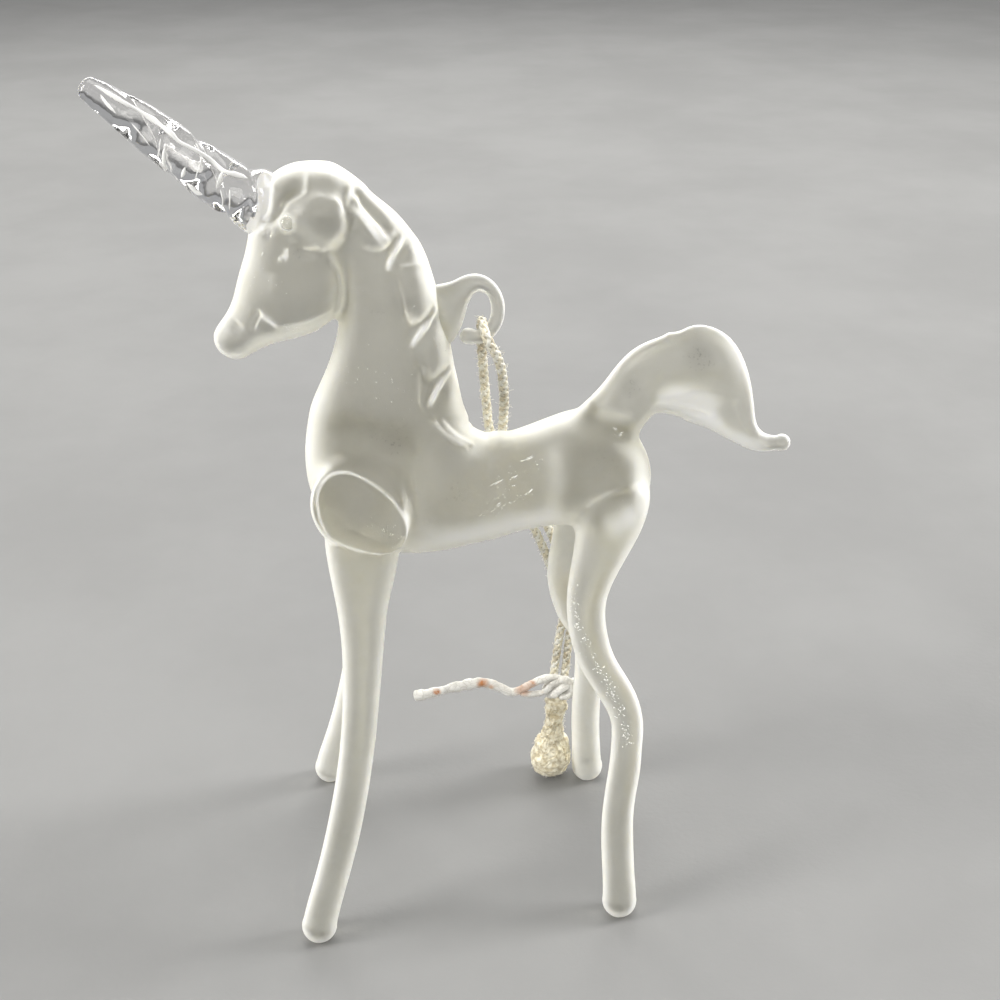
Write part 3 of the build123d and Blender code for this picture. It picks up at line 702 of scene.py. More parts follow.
tie = Shape()
crumpled(tie, TIE_TAIL, (0.60, 0.66, 0.68, 0.84, 1.04, 1.06), 0.54, 1)
crumpled(tie, TIE_BRANCH, 0.56, 0.36, 2)
tie_base = row(KNOT_TOP - DOWN * 0.45)
wrap = []
for k in range(46):
    f = k / 45
    a = math.radians(200) + f * 2 * math.pi * 2.35
    lift = 0.75 + 2.3 * f + 0.38 * math.sin(a * 1.7)
    sx, sy = SPREAD + 0.65 + 0.42, 0.65 + 0.42
    c, q = math.cos(a), math.sin(a)
    grow = 1.0 + 0.07 * math.sin(5.3 * a)
    wrap.append(tie_base - DOWN * lift + ACROSS * (c * sx * grow) + FACING * (q * sy * grow))
crumpled(tie, wrap, 0.72, 0.40, 5)
# the wire's loose end, folded over the wrap
crumpled(tie, row([(9.3, 12.35, 19.9), (10.32, 12.25, 19.7), (11.15, 12.35, 18.7), (11.25, 12.45, 17.5), (10.57, 12.4, 16.75),
                   (9.45, 12.35, 16.75)]), 0.62, 0.44, 8)
crumpled(tie, row([(8.39, 12.8, 16.5), (9.07, 12.35, 17.6), (10.05, 12.1, 18.5), (11.03, 12.3, 19.0)]), 0.66, 0.40, 9)
crumpled(tie, row([(11.35, 12.9, 17.0), (11.6, 13.0, 18.2), (11.5, 13.1, 19.4)]), 0.60, 0.42, 12)
tie_wire = tie.make("tie_paper_wire", "paper", "tie", "tie_paper", ["twist_tie"])

# ------------------------------------------------------------- glass skin
SKIN_NODES = ["torso_and_neck", "head", "mane", "ear_near", "ear_far", "foreleg_near", "foreleg_far",
              "hind_leg_near", "hind_leg_far", "tail"]
VOXEL = 0.28


def node_arrays(name):
    me = NODES[name].data
    co = np.empty(len(me.vertices) * 3, np.float32)
    me.vertices.foreach_get("co", co)
    me.calc_loop_triangles()
    tri = np.empty(len(me.loop_triangles) * 3, np.int32)
    me.loop_triangles.foreach_get("vertices", tri)
    return co.reshape(-1, 3).astype(float) / MM, tri.reshape(-1, 3)


trees, boxes, parts_v, parts_f, count = {}, {}, [], [], 0
for name in SKIN_NODES:
    v, f = node_arrays(name)
    trees[name] = BVHTree.FromPolygons(v.tolist(), f.tolist())
    boxes[name] = (v.min(0), v.max(0))
    parts_v.append(v)
    parts_f.append(f + count)
    count += len(v)
me = bpy.data.meshes.new("raw")
me.from_pydata((np.vstack(parts_v) * MM).tolist(), [], np.vstack(parts_f).tolist())
raw = bpy.data.objects.new("raw", me)
scene.collection.objects.link(raw)
mod = raw.modifiers.new("remesh", "REMESH")
mod.mode = "VOXEL"
mod.voxel_size = VOXEL * MM
mod.adaptivity = 0.0
bpy.context.view_layer.update()
skin_me = bpy.data.meshes.new_from_object(raw.evaluated_get(bpy.context.evaluated_depsgraph_get()))
bpy.data.objects.remove(raw)


def outer_only(me):
    """The mesh without the small closed hollows that joins can leave inside."""
    n = len(me.vertices)
    e = np.empty(len(me.edges) * 2, np.int32)
    me.edges.foreach_get("vertices", e)
    e = e.reshape(-1, 2)
    label = np.arange(n)
    while True:
        low = np.minimum(label[e[:, 0]], label[e[:, 1]])
        new = label.copy()
        np.minimum.at(new, e[:, 0], low)
        np.minimum.at(new, e[:, 1], low)
        new = new[new]
        if np.array_equal(new, label):
            break
        label = new
    names, sizes = np.unique(label, return_counts=True)
    print("closed shells in the skin", sizes.tolist()[:12])
    keep = label == names[sizes.argmax()]
    if keep.all():
        return me
    index = np.cumsum(keep) - 1
    co = np.empty(n * 3, np.float32)
    me.vertices.foreach_get("co", co)
    faces = [tuple(int(index[v]) for v in f.vertices) for f in me.polygons if keep[f.vertices[0]]]
    out = bpy.data.meshes.new("skin")
    out.from_pydata(co.reshape(-1, 3)[keep].tolist(), [], faces)
    out.update()
    return out


skin_me = outer_only(skin_me)
n_skin = len(skin_me.vertices)
V = np.empty(n_skin * 3, np.float32)
skin_me.vertices.foreach_get("co", V)
V = V.reshape(-1, 3).astype(float) / MM
E = np.empty(len(skin_me.edges) * 2, np.int32)
skin_me.edges.foreach_get("vertices", E)
E = E.reshape(-1, 2)
degree = np.bincount(E.ravel(), minlength=n_skin).astype(float)


def averaged(values):
    """Each vertex's neighbours' mean."""
    out = np.empty_like(values)
    for k in range(values.shape[1]):
        out[:, k] = (np.bincount(E[:, 0], values[E[:, 1], k], n_skin)
                     + np.bincount(E[:, 1], values[E[:, 0], k], n_skin))
    return out / degree[:, None]


def relax(weight, rounds, step=0.6):
    global V
    w = np.asarray(weight)[:, None] * step
    for _ in range(rounds):
        V = V + w * (averaged(V) - V)


def relax_keep(weight, rounds):
    """Smooths without shrinking (a step in and a slightly longer one out)."""
    global V
    w = np.asarray(weight)[:, None]
    for _ in range(rounds):
        V = V + w * 0.5 * (averaged(V) - V)
        V = V - w * 0.53 * (averaged(V) - V)


def normals():
    skin_me.vertices.foreach_set("co", (V * MM).astype(np.float32).ravel())
    skin_me.update()
    out = np.empty(n_skin * 3, np.float32)
    skin_me.vertices.foreach_get("normal", out)
    return out.reshape(-1, 3).astype(float)


def fade(x):
    x = np.clip(x, 0, 1)
    return x * x * (3 - 2 * x)


# how near each point is to a join between two pieces; the mane and the ears
# keep a sharper join than the rest
REACH = 3.2
dist = np.full((len(SKIN_NODES), n_skin), 99.0)
for row_i, name in enumerate(SKIN_NODES):
    lo, hi = boxes[name]
    idx = np.nonzero(np.all((V > lo - REACH) & (V < hi + REACH), axis=1))[0]
    found = [trees[name].find_nearest(p, 6.0)[3] for p in V[idx].tolist()]
    dist[row_i, idx] = [99.0 if x is None else x for x in found]
order = np.argsort(dist, axis=0)[:2]
near2 = dist[order[1], np.arange(n_skin)]
crisp = np.isin(order, [SKIN_NODES.index(x) for x in ("mane", "ear_near", "ear_far")]).any(0)
ears = np.isin(order, [SKIN_NODES.index(x) for x in ("ear_near", "ear_far")]).any(0)
near2 = np.where(ears, near2 * 1.7, np.where(crisp, near2 * 3.2, near2))

relax_keep(np.ones(n_skin), 4)
seam = fade(1 - near2 / REACH)
relax(np.where(crisp, 0.6, 1.0) * seam ** 1.5, int(60 * (0.28 / VOXEL) ** 2))
on_ear = fade(1.4 - np.minimum(dist[SKIN_NODES.index("ear_near")], dist[SKIN_NODES.index("ear_far")]) / 0.9)
relax(on_ear, int(30 * (0.28 / VOXEL) ** 2))
high = np.clip(np.abs(V[:, 1]) - 4.9, 0, None)          # the ears lie flatter on the head
V[:, 1] -= np.sign(V[:, 1]) * high * 0.42 * on_ear
relax(on_ear, int(14 * (0.28 / VOXEL) ** 2))
# the belly runs in one even line between the legs
belly = np.exp(-(((V[:, 0] - 1.2) / 8.0) ** 4 + ((V[:, 2] - 54.0) / 3.4) ** 4))
relax(belly, int(130 * (0.28 / VOXEL) ** 2))
relax_keep(np.ones(n_skin), 9)


# ------------------------------------------------ details worked in the glass
def to_line(points, margin):
    """Points near a line: their indices, distances and places along it (0..1)."""
    points = np.asarray(points, float)
    idx = np.nonzero(np.all((V > points.min(0) - margin) & (V < points.max(0) + margin), axis=1))[0]
    if len(points) == 1:
        return idx, np.linalg.norm(V[idx] - points[0], axis=1), np.full(len(idx), 0.5)
    line = curve_through(points, 0.25)
    s = lengths_along(line)
    best = np.full(len(idx), 1e9)
    at = np.zeros(len(idx))
    for i in range(len(line) - 1):
        a, ab = line[i], line[i + 1] - line[i]
        t = np.clip(((V[idx] - a) @ ab) / (ab @ ab), 0, 1)
        d = np.linalg.norm(V[idx] - a - t[:, None] * ab, axis=1)
        m = d < best
        best[m] = d[m]
        at[m] = ((s[i] + t * (s[i + 1] - s[i])) / s[-1])[m]
    return idx, best, at


MOVE = np.zeros((n_skin, 3))
MILK_AND_PAINTED_LIGHT = np.zeros(n_skin)          # whiter (above 0) or less milky, greyer (below 0) glass; partly the glass's own tone, partly painted light and painted shade


def stroke(points, width, height, sides=(-1, 1), taper=0.25, toe=1.0):
    """Raises a ridge (or presses a groove, height < 0) along a line drawn on the
    near side; sides (-1, 1) works the far side too."""
    for side in sides:
        pts = np.array(points, float) * ([1, 1, 1] if side < 0 else [1, -1, 1])
        idx, d, at = to_line(pts, width * 3)
        ends = np.clip(np.minimum(at, 1 - at) / taper, 0, 1) if len(pts) > 1 else np.ones(len(idx))
        w = np.exp(-((d / width) ** (2 * toe))) * np.sqrt(ends)
        MOVE[idx] += N[idx] * (w * height)[:, None]


def paint(points, width, amount, sides=(-1, 1), taper=0.2):
    """Whitens (or makes less milky and greyer, amount < 0) the glass along a line or round a point; it paints the
    glass's own tone and also painted light and painted shade.
    """
    for side in sides:
        pts = np.array(points, float) * ([1, 1, 1] if side < 0 else [1, -1, 1])
        idx, d, at = to_line(pts, width * 3)
        ends = np.clip(np.minimum(at, 1 - at) / taper, 0, 1) if len(pts) > 1 else np.ones(len(idx))
        MILK_AND_PAINTED_LIGHT[idx] += amount * np.exp(-((d / width) ** 2)) * np.sqrt(ends)


def line_worked(points, width, height, white=0.0, beside=0.0, taper=0.25):
    """A ridge or groove, whitened along its line as a painted highlight, and hollows on both sides."""
    stroke(points, width, height, taper=taper)
    if beside:
        stroke(points, width * 3.0, -beside, taper=taper)
        stroke(points, width, beside, taper=taper)
    # painted highlight along the ridge's crest
    if white:
        paint(points, width * 0.9, white)


N = normals()
# mane: lens-shaped fold below the poll, crimps, lobes between them
stroke([(-12.04, -2.4, 97.2), (-11.08, -2.6, 96.4), (-10.1, -2.9, 95.2), (-9.1, -3.3, 93.9), (-8.1, -3.7, 92.5)], 0.75, -0.75, taper=0.35)
line_worked([(-12.21, -3.89, 95.65), (-10.9, -3.95, 94.22), (-9.78, -4.45, 92.57), (-8.76, -4.14, 90.98)], 0.36, 0.46, 1.2)
line_worked([(-11.54, -3.69, 95.73), (-10.22, -3.79, 94.12), (-9.05, -4.35, 92.45), (-8.15, -3.98, 91.35)], 0.30, 0.34, 0.6)
line_worked([(-6.80, -2.30, 91.75), (-7.41, -3.35, 90.84), (-8.33, -4.04, 88.98), (-8.45, -4.3, 88.2)], 0.42, 0.48, 1.1, 0.38, 0.4)
line_worked([(-7.33, -4.45, 88.99), (-6.01, -4.03, 88.96), (-4.72, -2.68, 88.56)], 0.28, 0.22, 0.5)
stroke([(-7.77, -4.52, 88.18), (-7.44, -4.73, 86.59), (-7.07, -4.85, 84.91), (-6.77, -4.52, 82.91), (-6.38, -3.94, 80.88)], 0.42, -0.32)
line_worked([(-3.30, -2.45, 83.3), (-4.51, -3.71, 81.45), (-5.8, -4.12, 79.62), (-6.1, -4.4, 79.0)], 0.42, 0.52, 1.2, 0.48, 0.3)
line_worked([(-1.60, -1.75, 75.6), (-2.8, -3.4, 74.35), (-4.11, -4.3, 72.22), (-4.4, -4.6, 71.5)], 0.40, 0.50, 1.2, 0.48, 0.3)
stroke([(-6.2, -3.7, 86.0)], 1.7, 0.35)
stroke([(-5.6, -3.9, 83.6)], 1.1, 0.25)
stroke([(-3.6, -3.6, 77.2)], 1.1, 0.25)
stroke([(-5.4, -3.6, 90.2)], 1.1, 0.25)
stroke([(-4.6, -3.2, 79.0)], 1.3, 0.30)
stroke([(-3.0, -3.2, 72.0)], 1.3, 0.30)
stroke([(-5.2, -4.25, 76.9), (-4.9, -4.5, 74.8), (-5.0, -4.9, 72.6), (-4.6, -5.0, 71.0)], 0.40, -0.25)
line_worked([(-4.29, -4.98, 70.46), (-2.95, -4.93, 68.66), (-1.39, -4.53, 67.12), (0.22, -3.75, 65.82)], 0.34, 0.30, 0.6)
line_worked([(-3.04, -4.51, 69.87), (-2.12, -4.43, 68.59), (-0.86, -3.97, 67.19), (1.05, -2.73, 65.65)], 0.32, 0.30, 0.6)
# head: brow fold, poll seams, cheek, mouth and jaw
stroke([(-23.58, -3.27, 93.28), (-22.21, -3.5, 93.75), (-21.08, -4.13, 94.29), (-20.21, -4.36, 95.12), (-19.35, -4.24, 96.48), (-17.35, -4.04, 97.58)], 0.42, -0.34)
line_worked([(-17.03, -2.60, 99.0), (-17.1, -3.3, 98.5), (-17.19, -3.96, 97.74), (-17.3, -4.5, 96.9)], 0.40, 0.16, 0.55, 0, 0.5)
line_worked([(-12.30, -2.1, 97.5), (-12.37, -2.62, 97.17), (-12.61, -3.34, 96.26), (-12.8, -3.9, 95.3)], 0.42, 0.20, 0.6, 0, 0.5)
stroke([(-14.7, -2.6, 98.3)], 1.6, 0.22)
line_worked([(-15.39, -4.54, 90.84), (-14.19, -3.3, 88.47), (-13.9, -2.6, 86.06), (-14.11, -2.6, 84.17), (-14.73, -2.2, 82.51)], 0.45, 0.35, 0.6)
stroke([(-23.10, -4.3, 83.95), (-23.6, -4.05, 83.05), (-24.15, -3.7, 81.95), (-24.3, -3.0, 81.0)], 0.36, -0.50, taper=0.25)
line_worked([(-23.15, -4.28, 83.8), (-22.51, -4.42, 83.18), (-21.95, -4.45, 82.53), (-20.98, -4.36, 81.94)], 0.42, 0.20, 0.75)
line_worked([(-20.97, -4.41, 82.07), (-18.71, -4.45, 82.59), (-16.65, -4.1, 83.17), (-14.96, -3.24, 83.71)], 0.42, 0.20, 0.45, 0, 0.4)
stroke([(-22.25, -4.33, 82.3)], 0.85, -0.35)
stroke([(-17.74, -5.29, 87.41)], 2.3, -0.30)
stroke([(-16.4, -5.9, 94.6)], 1.9, 0.30)
stroke([(-26.5, -2.74, 80.64), (-25.79, -2.92, 82.15)], 0.95, -0.22)
stroke([(-21.5, -4.9, 88.6), (-21.8, -4.9, 86.0)], 0.8, 0.12)
# painted highlight on the cheek's raised patch
paint([(-21.3, -4.9, 88.9), (-21.7, -4.9, 86.2)], 0.7, 0.35)
# under the ears, and their ragged lower edge
stroke([(-18.9, -5.0, 91.3), (-17.33, -5.1, 90.8), (-15.92, -4.6, 90.9)], 0.62, -0.42, taper=0.4)
stroke([(-19.36, -5.08, 92.73), (-18.81, -5.3, 92.1), (-17.42, -5.6, 92.0), (-17.3, -5.4, 91.55), (-16.22, -5.9, 92.1), (-15.88, -5.6, 91.7), (-15.38, -4.56, 91.05)], 0.26, 0.18)
paint([(-19.36, -5.08, 92.73), (-18.81, -5.3, 92.1), (-17.42, -5.6, 92.0), (-16.22, -5.9, 92.1), (-15.38, -4.56, 91.05)], 0.35, 0.35)
# joins at the hips and the tail, folds in the tail
stroke([(13.43, -5.4, 56.39), (14.36, -6.4, 58.38), (15.49, -6.9, 59.81), (16.99, -7.2, 60.78), (18.43, -7.2, 61.27), (21.23, -4.99, 60.92)], 0.55, -0.36)
stroke([(15.3, -0.92, 69.83), (16.93, -2.56, 69.72), (18.92, -3.18, 69.42), (21.23, -2.71, 68.34)], 0.36, -0.20)
stroke([(23.03, -2.36, 70.12), (24.97, -1.91, 69.6), (27.49, -1.75, 68.92), (30.31, -1.61, 67.84)], 0.55, -0.55)
stroke([(22.32, -2.64, 71.19), (24.79, -2.32, 71.38), (27.83, -2.17, 71.88), (30.94, -2.05, 71.48), (33.32, -1.79, 69.98)], 0.8, 0.30)
stroke([(32.91, -1.86, 70.29), (33.92, -1.59, 67.73), (34.98, -1.39, 65.98), (35.98, -1.25, 64.93)], 0.32, -0.22)
V = V + MOVE
relax_keep(np.ones(n_skin), 2)

# greyer, less milky glass: lobes of the mane, crown, throat, chest, middle of the
# barrel, rump, two places in the tail; under the ear it is painted shade
for point, width, amount in (
        ((-9.9, -3.2, 95.0), 0.8, -0.8), ((-8.6, -3.6, 93.2), 0.9, -0.9), ((-5.6, -3.5, 90.5), 0.9, -0.7), ((-6.0, -3.9, 86.6), 1.2, -0.75),
        ((-5.9, -4.1, 84.6), 0.9, -0.5), ((-3.9, -3.7, 78.8), 1.3, -0.35), ((-2.6, -3.0, 72.9), 1.0, -0.65),
        # the patch under the ear at (-18.2, -5.2, 90.9) is painted shade, in the hollow beneath the ear disc
        ((-15.0, -2.7, 98.2), 1.4, -0.5), ((-19.2, -4.2, 97.6), 1.0, -0.35), ((-18.2, -5.2, 90.9), 1.1, -0.6),
        ((-18.0, -4.9, 86.5), 2.2, -0.30), ((-9.82, -4.52, 83.46), 1.9, -0.40), ((-8.67, -6.61, 67.63), 1.8, -0.35),
        ((-7.8, -6.2, 69.5), 3.6, -0.30), ((-11.35, -6.4, 68.4), 2.6, -0.25), ((-1.5, -7.0, 61.5), 3.4, -0.45),
        ((16.0, -6.6, 63.7), 3.4, -0.30), ((17.7, -5.6, 65.6), 2.2, -0.25), ((19.8, -2.4, 72.6), 1.7, -0.75),
        ((28.4, -1.8, 75.8), 2.3, -0.75), ((-12.6, -9.3, 59.6), 3.0, -0.25), ((-9.8, -10.1, 57.6), 1.6, -0.50)):
    paint([point], width, amount)
# whiter glass, much of it painted light: pale bands round the barrel, the belly, the rump, the chest's
# front, the ears, under the lit edge of the tail
# painted light: a broad pale band along the belly, whose underside the lamps leave dim
paint([(-6.0, -5.9, 55.3), (-2.0, -6.0, 55.3), (3.0, -5.7, 55.8), (8.0, -5.3, 56.6), (12.0, -5.2, 57.6)], 2.2, 0.85)
# painted light: the rump's lower side, which faces away from the lamps
paint([(21.2, -3.4, 65.5), (21.8, -4.6, 62.5), (20.6, -6.8, 59.2), (19.0, -7.6, 56.8), (17.6, -7.6, 54.0)], 1.7, 0.62)
# painted highlight: the lit rim down the front of the neck and chest
paint([(-15.6, -3.2, 79.5), (-16.8, -3.6, 74.0), (-17.6, -3.9, 69.0)], 1.3, 0.35)
# painted light: the ear disc lightened where its thickness shades it grey
paint([(-17.2, -5.8, 93.6)], 1.8, 0.35)
# the bands along the tail's upper and lower edges are painted highlights, the glow of its rims
paint([(15.28, -2.5, 70.25), (17.41, -2.43, 72.77), (19.9, -2.27, 75.85), (23.19, -2.06, 78.21), (27.74, -1.77, 79.25),
       (31.08, -1.57, 77.61), (33.12, -1.46, 74.96), (34.27, -1.41, 71.0)], 1.5, 0.55)
paint([(22.83, -2.11, 69.64), (25.7, -1.93, 69.5), (29.13, -1.73, 67.6), (32.19, -1.56, 65.6), (35.51, -1.37, 63.8), (38.04, -1.3, 63.7)], 1.2, 0.95)
paint([(22.75, -2.11, 71.3), (25.6, -1.93, 71.6), (28.68, -1.75, 71.2), (31.52, -1.58, 69.16)], 1.4, 0.75)
paint([(16.2, -7.5, 56.9), (18.3, -7.5, 57.7), (20.0, -7.2, 58.6)], 1.6, 0.45)
paint([(39.35, -1.3, 64.19)], 0.55, -0.9)
# painted light: whiter over the cord on the near side, painting out its dark shade seen through the glass
paint([(5.3, -5.4, 64.5), (5.3, -6.8, 61.0), (5.8, -6.8, 57.5)], 1.7, 0.20, sides=(-1,))
paint([(10.61, -3.31, 66.26), (10.9, -6.2, 62.9), (10.42, -6.6, 59.09), (9.9, -5.6, 56.0)], 1.5, 0.36)
paint([(-5.29, -7.33, 64.0), (-5.29, -7.33, 62.04), (-5.43, -7.23, 56.51), (-5.4, -6.9, 55.0)], 1.4, 0.28)
# painted highlight along the tail
paint([(22.97, -2.49, 70.84), (27.34, -2.04, 70.52), (32.03, -1.46, 66.78)], 1.1, 0.45)
paint([(-21.6, -4.3, 92.2), (-20.9, -4.5, 94.0), (-20.3, -4.4, 95.6), (-18.9, -4.1, 97.0)], 0.55, 0.45)
paint([(14.36, -6.4, 58.38), (15.49, -6.9, 59.81), (16.99, -7.2, 60.78), (18.43, -7.2, 61.27)], 0.5, 0.5)
# painted light: whiter where the rump and tail show a darker refraction
paint([(15.5, -2.5, 69.5), (18.0, -3.1, 69.0), (20.5, -3.0, 68.8)], 1.1, 0.4)
# painted light: the far flank is whiter where the cord rests on it, painting out the shade the cord casts through the
# glass
paint([(4.9, -4.6, 66.0), (4.6, -7.2, 61.0), (6.6, -7.0, 56.0)], 3.2, 1.0, sides=(1,))
# white round the horn's root and behind the eye beads, where the gathers meet
for name, reach, amount in (("horn", 0.55, 0.9), ("eye_near", 0.40, 0.6), ("eye_far", 0.40, 0.6)):
    v, f = node_arrays(name)
    tree = BVHTree.FromPolygons(v.tolist(), f.tolist())
    idx = np.nonzero(np.all((V > v.min(0) - 1.6) & (V < v.max(0) + 1.6), axis=1))[0]
    d = np.array([tree.find_nearest(p, 4.0)[3] or 0.0 for p in V[idx].tolist()])
    MILK_AND_PAINTED_LIGHT[idx] += amount * np.exp(-((d / reach) ** 2))

# a flat pressed on each shoulder: a rounded triangle with a crisp edge
PAD = np.array([(-14.42, 64.96), (-12.44, 64.34), (-10.82, 63.37), (-9.21, 62.16), (-8.08, 60.82), (-7.18, 59.23),
                (-7.12, 57.6), (-7.64, 56.18), (-9.22, 55.17), (-11.13, 55.09), (-14.33, 55.77), (-16.57, 56.62),
                (-17.68, 58.45), (-18.15, 61.23), (-17.72, 62.87), (-16.46, 64.42)])
for _ in range(2):                        # rounds its corners
    after = np.roll(PAD, -1, axis=0)
    PAD = np.stack([0.75 * PAD + 0.25 * after, 0.25 * PAD + 0.75 * after], 1).reshape(-1, 2)


def inside_depth(px, pz, outline):
    """How far points lie inside a closed outline (mm); negative outside."""
    best = np.full(len(px), 1e9)
    inside = np.zeros(len(px), bool)
    m = len(outline)
    for i in range(m):
        ax, az = outline[i]
        bx, bz = outline[(i + 1) % m]
        t = np.clip(((px - ax) * (bx - ax) + (pz - az) * (bz - az)) / ((bx - ax) ** 2 + (bz - az) ** 2), 0, 1)
        best = np.minimum(best, np.hypot(px - ax - t * (bx - ax), pz - az - t * (bz - az)))
        cross = ((az > pz) != (bz > pz)) & (px < (bx - ax) * (pz - az) / (bz - az + 1e-12) + ax)
        inside ^= cross
    return np.where(inside, best, -best)


for side in (-1, 1):
    m = np.nonzero((V[:, 1] * side > 3.0) & (np.abs(V[:, 0] + 12.6) < 9) & (np.abs(V[:, 2] - 59.5) < 9))[0]
    depth = inside_depth(V[m, 0], V[m, 2], PAD)
    plane = 9.05 + 0.15 * (V[m, 0] + 12.615) - 0.30 * (V[m, 2] - 59.8)
    crown = 0.12 * np.clip(depth / 4, 0, 1)
    w = fade((depth + 0.25) / 0.5)
    rim = 0.05 * np.exp(-((depth - 0.34) / 0.26) ** 2)
    # painted highlight: a white band along the flat's crisp edge
    MILK_AND_PAINTED_LIGHT[m] += 0.75 * np.exp(-((depth - 0.12) / 0.22) ** 2)
    V[m, 1] += side * w * (plane + rim - crown - side * V[m, 1])

skin_me.vertices.foreach_set("co", (V * MM).astype(np.float32).ravel())
skin_me.update()
skin_me.shade_smooth()
milk_and_painted_light = skin_me.attributes.new("milk_and_painted_light", "FLOAT", "POINT")
milk_and_painted_light.data.foreach_set("value", np.clip(MILK_AND_PAINTED_LIGHT, -1, 1).astype(np.float32))
skin = place(skin_me, "glass_skin", "frosted", "figurine", "frosted_glass", SKIN_NODES)
tris = sum(len(p.vertices) - 2 for p in skin_me.polygons)
print("skin vertices", n_skin, "triangles", tris)
if tris > 190000:
    cut = skin.modifiers.new("fewer", "DECIMATE")
    cut.ratio = 190000 / tris
    bpy.context.view_layer.update()
    fewer = bpy.data.meshes.new_from_object(skin.evaluated_get(bpy.context.evaluated_depsgraph_get()))
    skin.modifiers.clear()
    skin.data = fewer
    fewer.shade_smooth()
    print("skin triangles kept", sum(len(p.vertices) - 2 for p in fewer.polygons))

# ------------------------------------------- chips and scratches in the etching
final = np.empty(len(skin.data.vertices) * 3, np.float32)
skin.data.vertices.foreach_get("co", final)
skin.data.calc_loop_triangles()
final_tri = np.empty(len(skin.data.loop_triangles) * 3, np.int32)
skin.data.loop_triangles.foreach_get("vertices", final_tri)
surface = BVHTree.FromPolygons((final.reshape(-1, 3) / MM).tolist(), final_tri.reshape(-1, 3).tolist())
chips = Shape()


def chip(a, b, wide, thick=0.035):
    """A sliver lying in the surface from a to b."""
    line = []
    for t in np.linspace(0, 1, 6):
        at, normal, _, _ = surface.find_nearest(Vector(np.asarray(a) * (1 - t) + np.asarray(b) * t), 3.0)
        if at is None:
            return
        line.append(np.array(at) + np.array(normal) * 0.012)
    line = np.array(line)
    if np.linalg.norm(line[-1] - line[0]) < 0.02:
        return
    shape = np.sqrt(np.clip(1 - (np.linspace(-1, 1, 6) * 0.93) ** 2, 0.05, 1))
    tangent = np.gradient(line, axis=0)
    tangent /= np.linalg.norm(tangent, axis=1)[:, None]
    out = np.repeat(np.array(normal)[None], 6, 0)
    across = np.cross(tangent, out)
    across /= np.linalg.norm(across, axis=1)[:, None]
    chips.sweep(line, wide * shape, thick * shape, 6, (tangent, across, np.cross(tangent, across)), tone=rng.random())


rng = random.Random(29)
SCRATCHES = (((2.42, -6.19, 61.46), (4.66, -5.32, 62.3)), ((5.25, -5.49, 62.1), (6.48, -5.27, 62.9)),
             ((6.54, -4.37, 63.94), (8.72, -4.31, 64.78)), ((2.75, -6.7, 58.43), (3.99, -6.31, 59.43)),
             ((5.2, -6.32, 59.25), (5.81, -6.35, 59.8)), ((7.01, -6.47, 60.23), (8.23, -6.28, 61.6)),
             ((1.27, -7.03, 57.97), (2.13, -6.9, 58.15)), ((17.76, -3.32, 67.66), (19.0, -3.1, 67.3)),
             ((18.3, -3.5, 66.7), (19.76, -3.07, 67.21)), ((-22.9, -4.3, 90.3), (-22.1, -4.2, 91.0)))
for a, b in SCRATCHES:
    a, b = np.array(a), np.array(b)
    for _ in range(3):                    # each scratch is broken and doubled
        t0 = rng.uniform(0, 0.6)
        t1 = min(t0 + rng.uniform(0.2, 0.45), 1.0)
        off = np.array([rng.uniform(-0.18, 0.18), 0, rng.uniform(-0.18, 0.18)])
        chip(a + (b - a) * t0 + off, a + (b - a) * t1 + off, rng.uniform(0.03, 0.055), 0.03)
SPECKS = (((4.99, -5.85, 61.2), 2.9, 34), ((3.3, -6.6, 58.8), 1.6, 12), ((8.89, -5.29, 63.78), 1.4, 6), ((-3.4, -3.5, 79.9), 1.5, 16),
          ((-10.4, -4.9, 77.0), 3.2, 9), ((-8.3, -5.5, 74.0), 2.0, 6), ((-19.9, -4.2, 81.9), 1.2, 14), ((-22.2, -4.4, 87.2), 1.8, 8),
          ((-9.0, -9.6, 57.4), 1.2, 12), ((-6.2, -4.9, 83.9), 0.8, 5), ((-8.4, -3.9, 90.6), 0.8, 5))
LEG_SPECKS = np.array([(12.98, -7.06, 47.16), (13.19, -8.03, 44.5), (14.55, -9.19, 41.01), (15.98, -9.81, 37.57),
                       (18.07, -10.46, 34.07), (19.43, -10.98, 30.45), (20.28, -11.76, 26.2)])


def speck(at, spread, size=1.0):
    at = np.array([c + rng.gauss(0, 0.5) * spread for c in at])
    d = np.array([rng.gauss(0, 1) for _ in range(3)])
    d *= rng.uniform(0.04, 0.11) / np.linalg.norm(d)
    chip(at - d * size, at + d * size, rng.uniform(0.03, 0.065) * size)


for at, spread, number in SPECKS:
    for _ in range(number):
        speck(at, spread)
leg_line = curve_through(LEG_SPECKS, 0.2)
for _ in range(150):
    speck(leg_line[rng.randrange(len(leg_line))], 0.9, 1.5)
chips.make("etching_chips", "chip", "figurine", "frosted_glass")

# ------------------------------------------------------- hook and eye beads
for name, key in (("hanging_eye", "eye_glass"), ("eye_near", "bead"), ("eye_far", "bead")):
    ob = NODES[name]
    ob.data.materials.clear()
    ob.data.materials.append(MATERIALS[key])

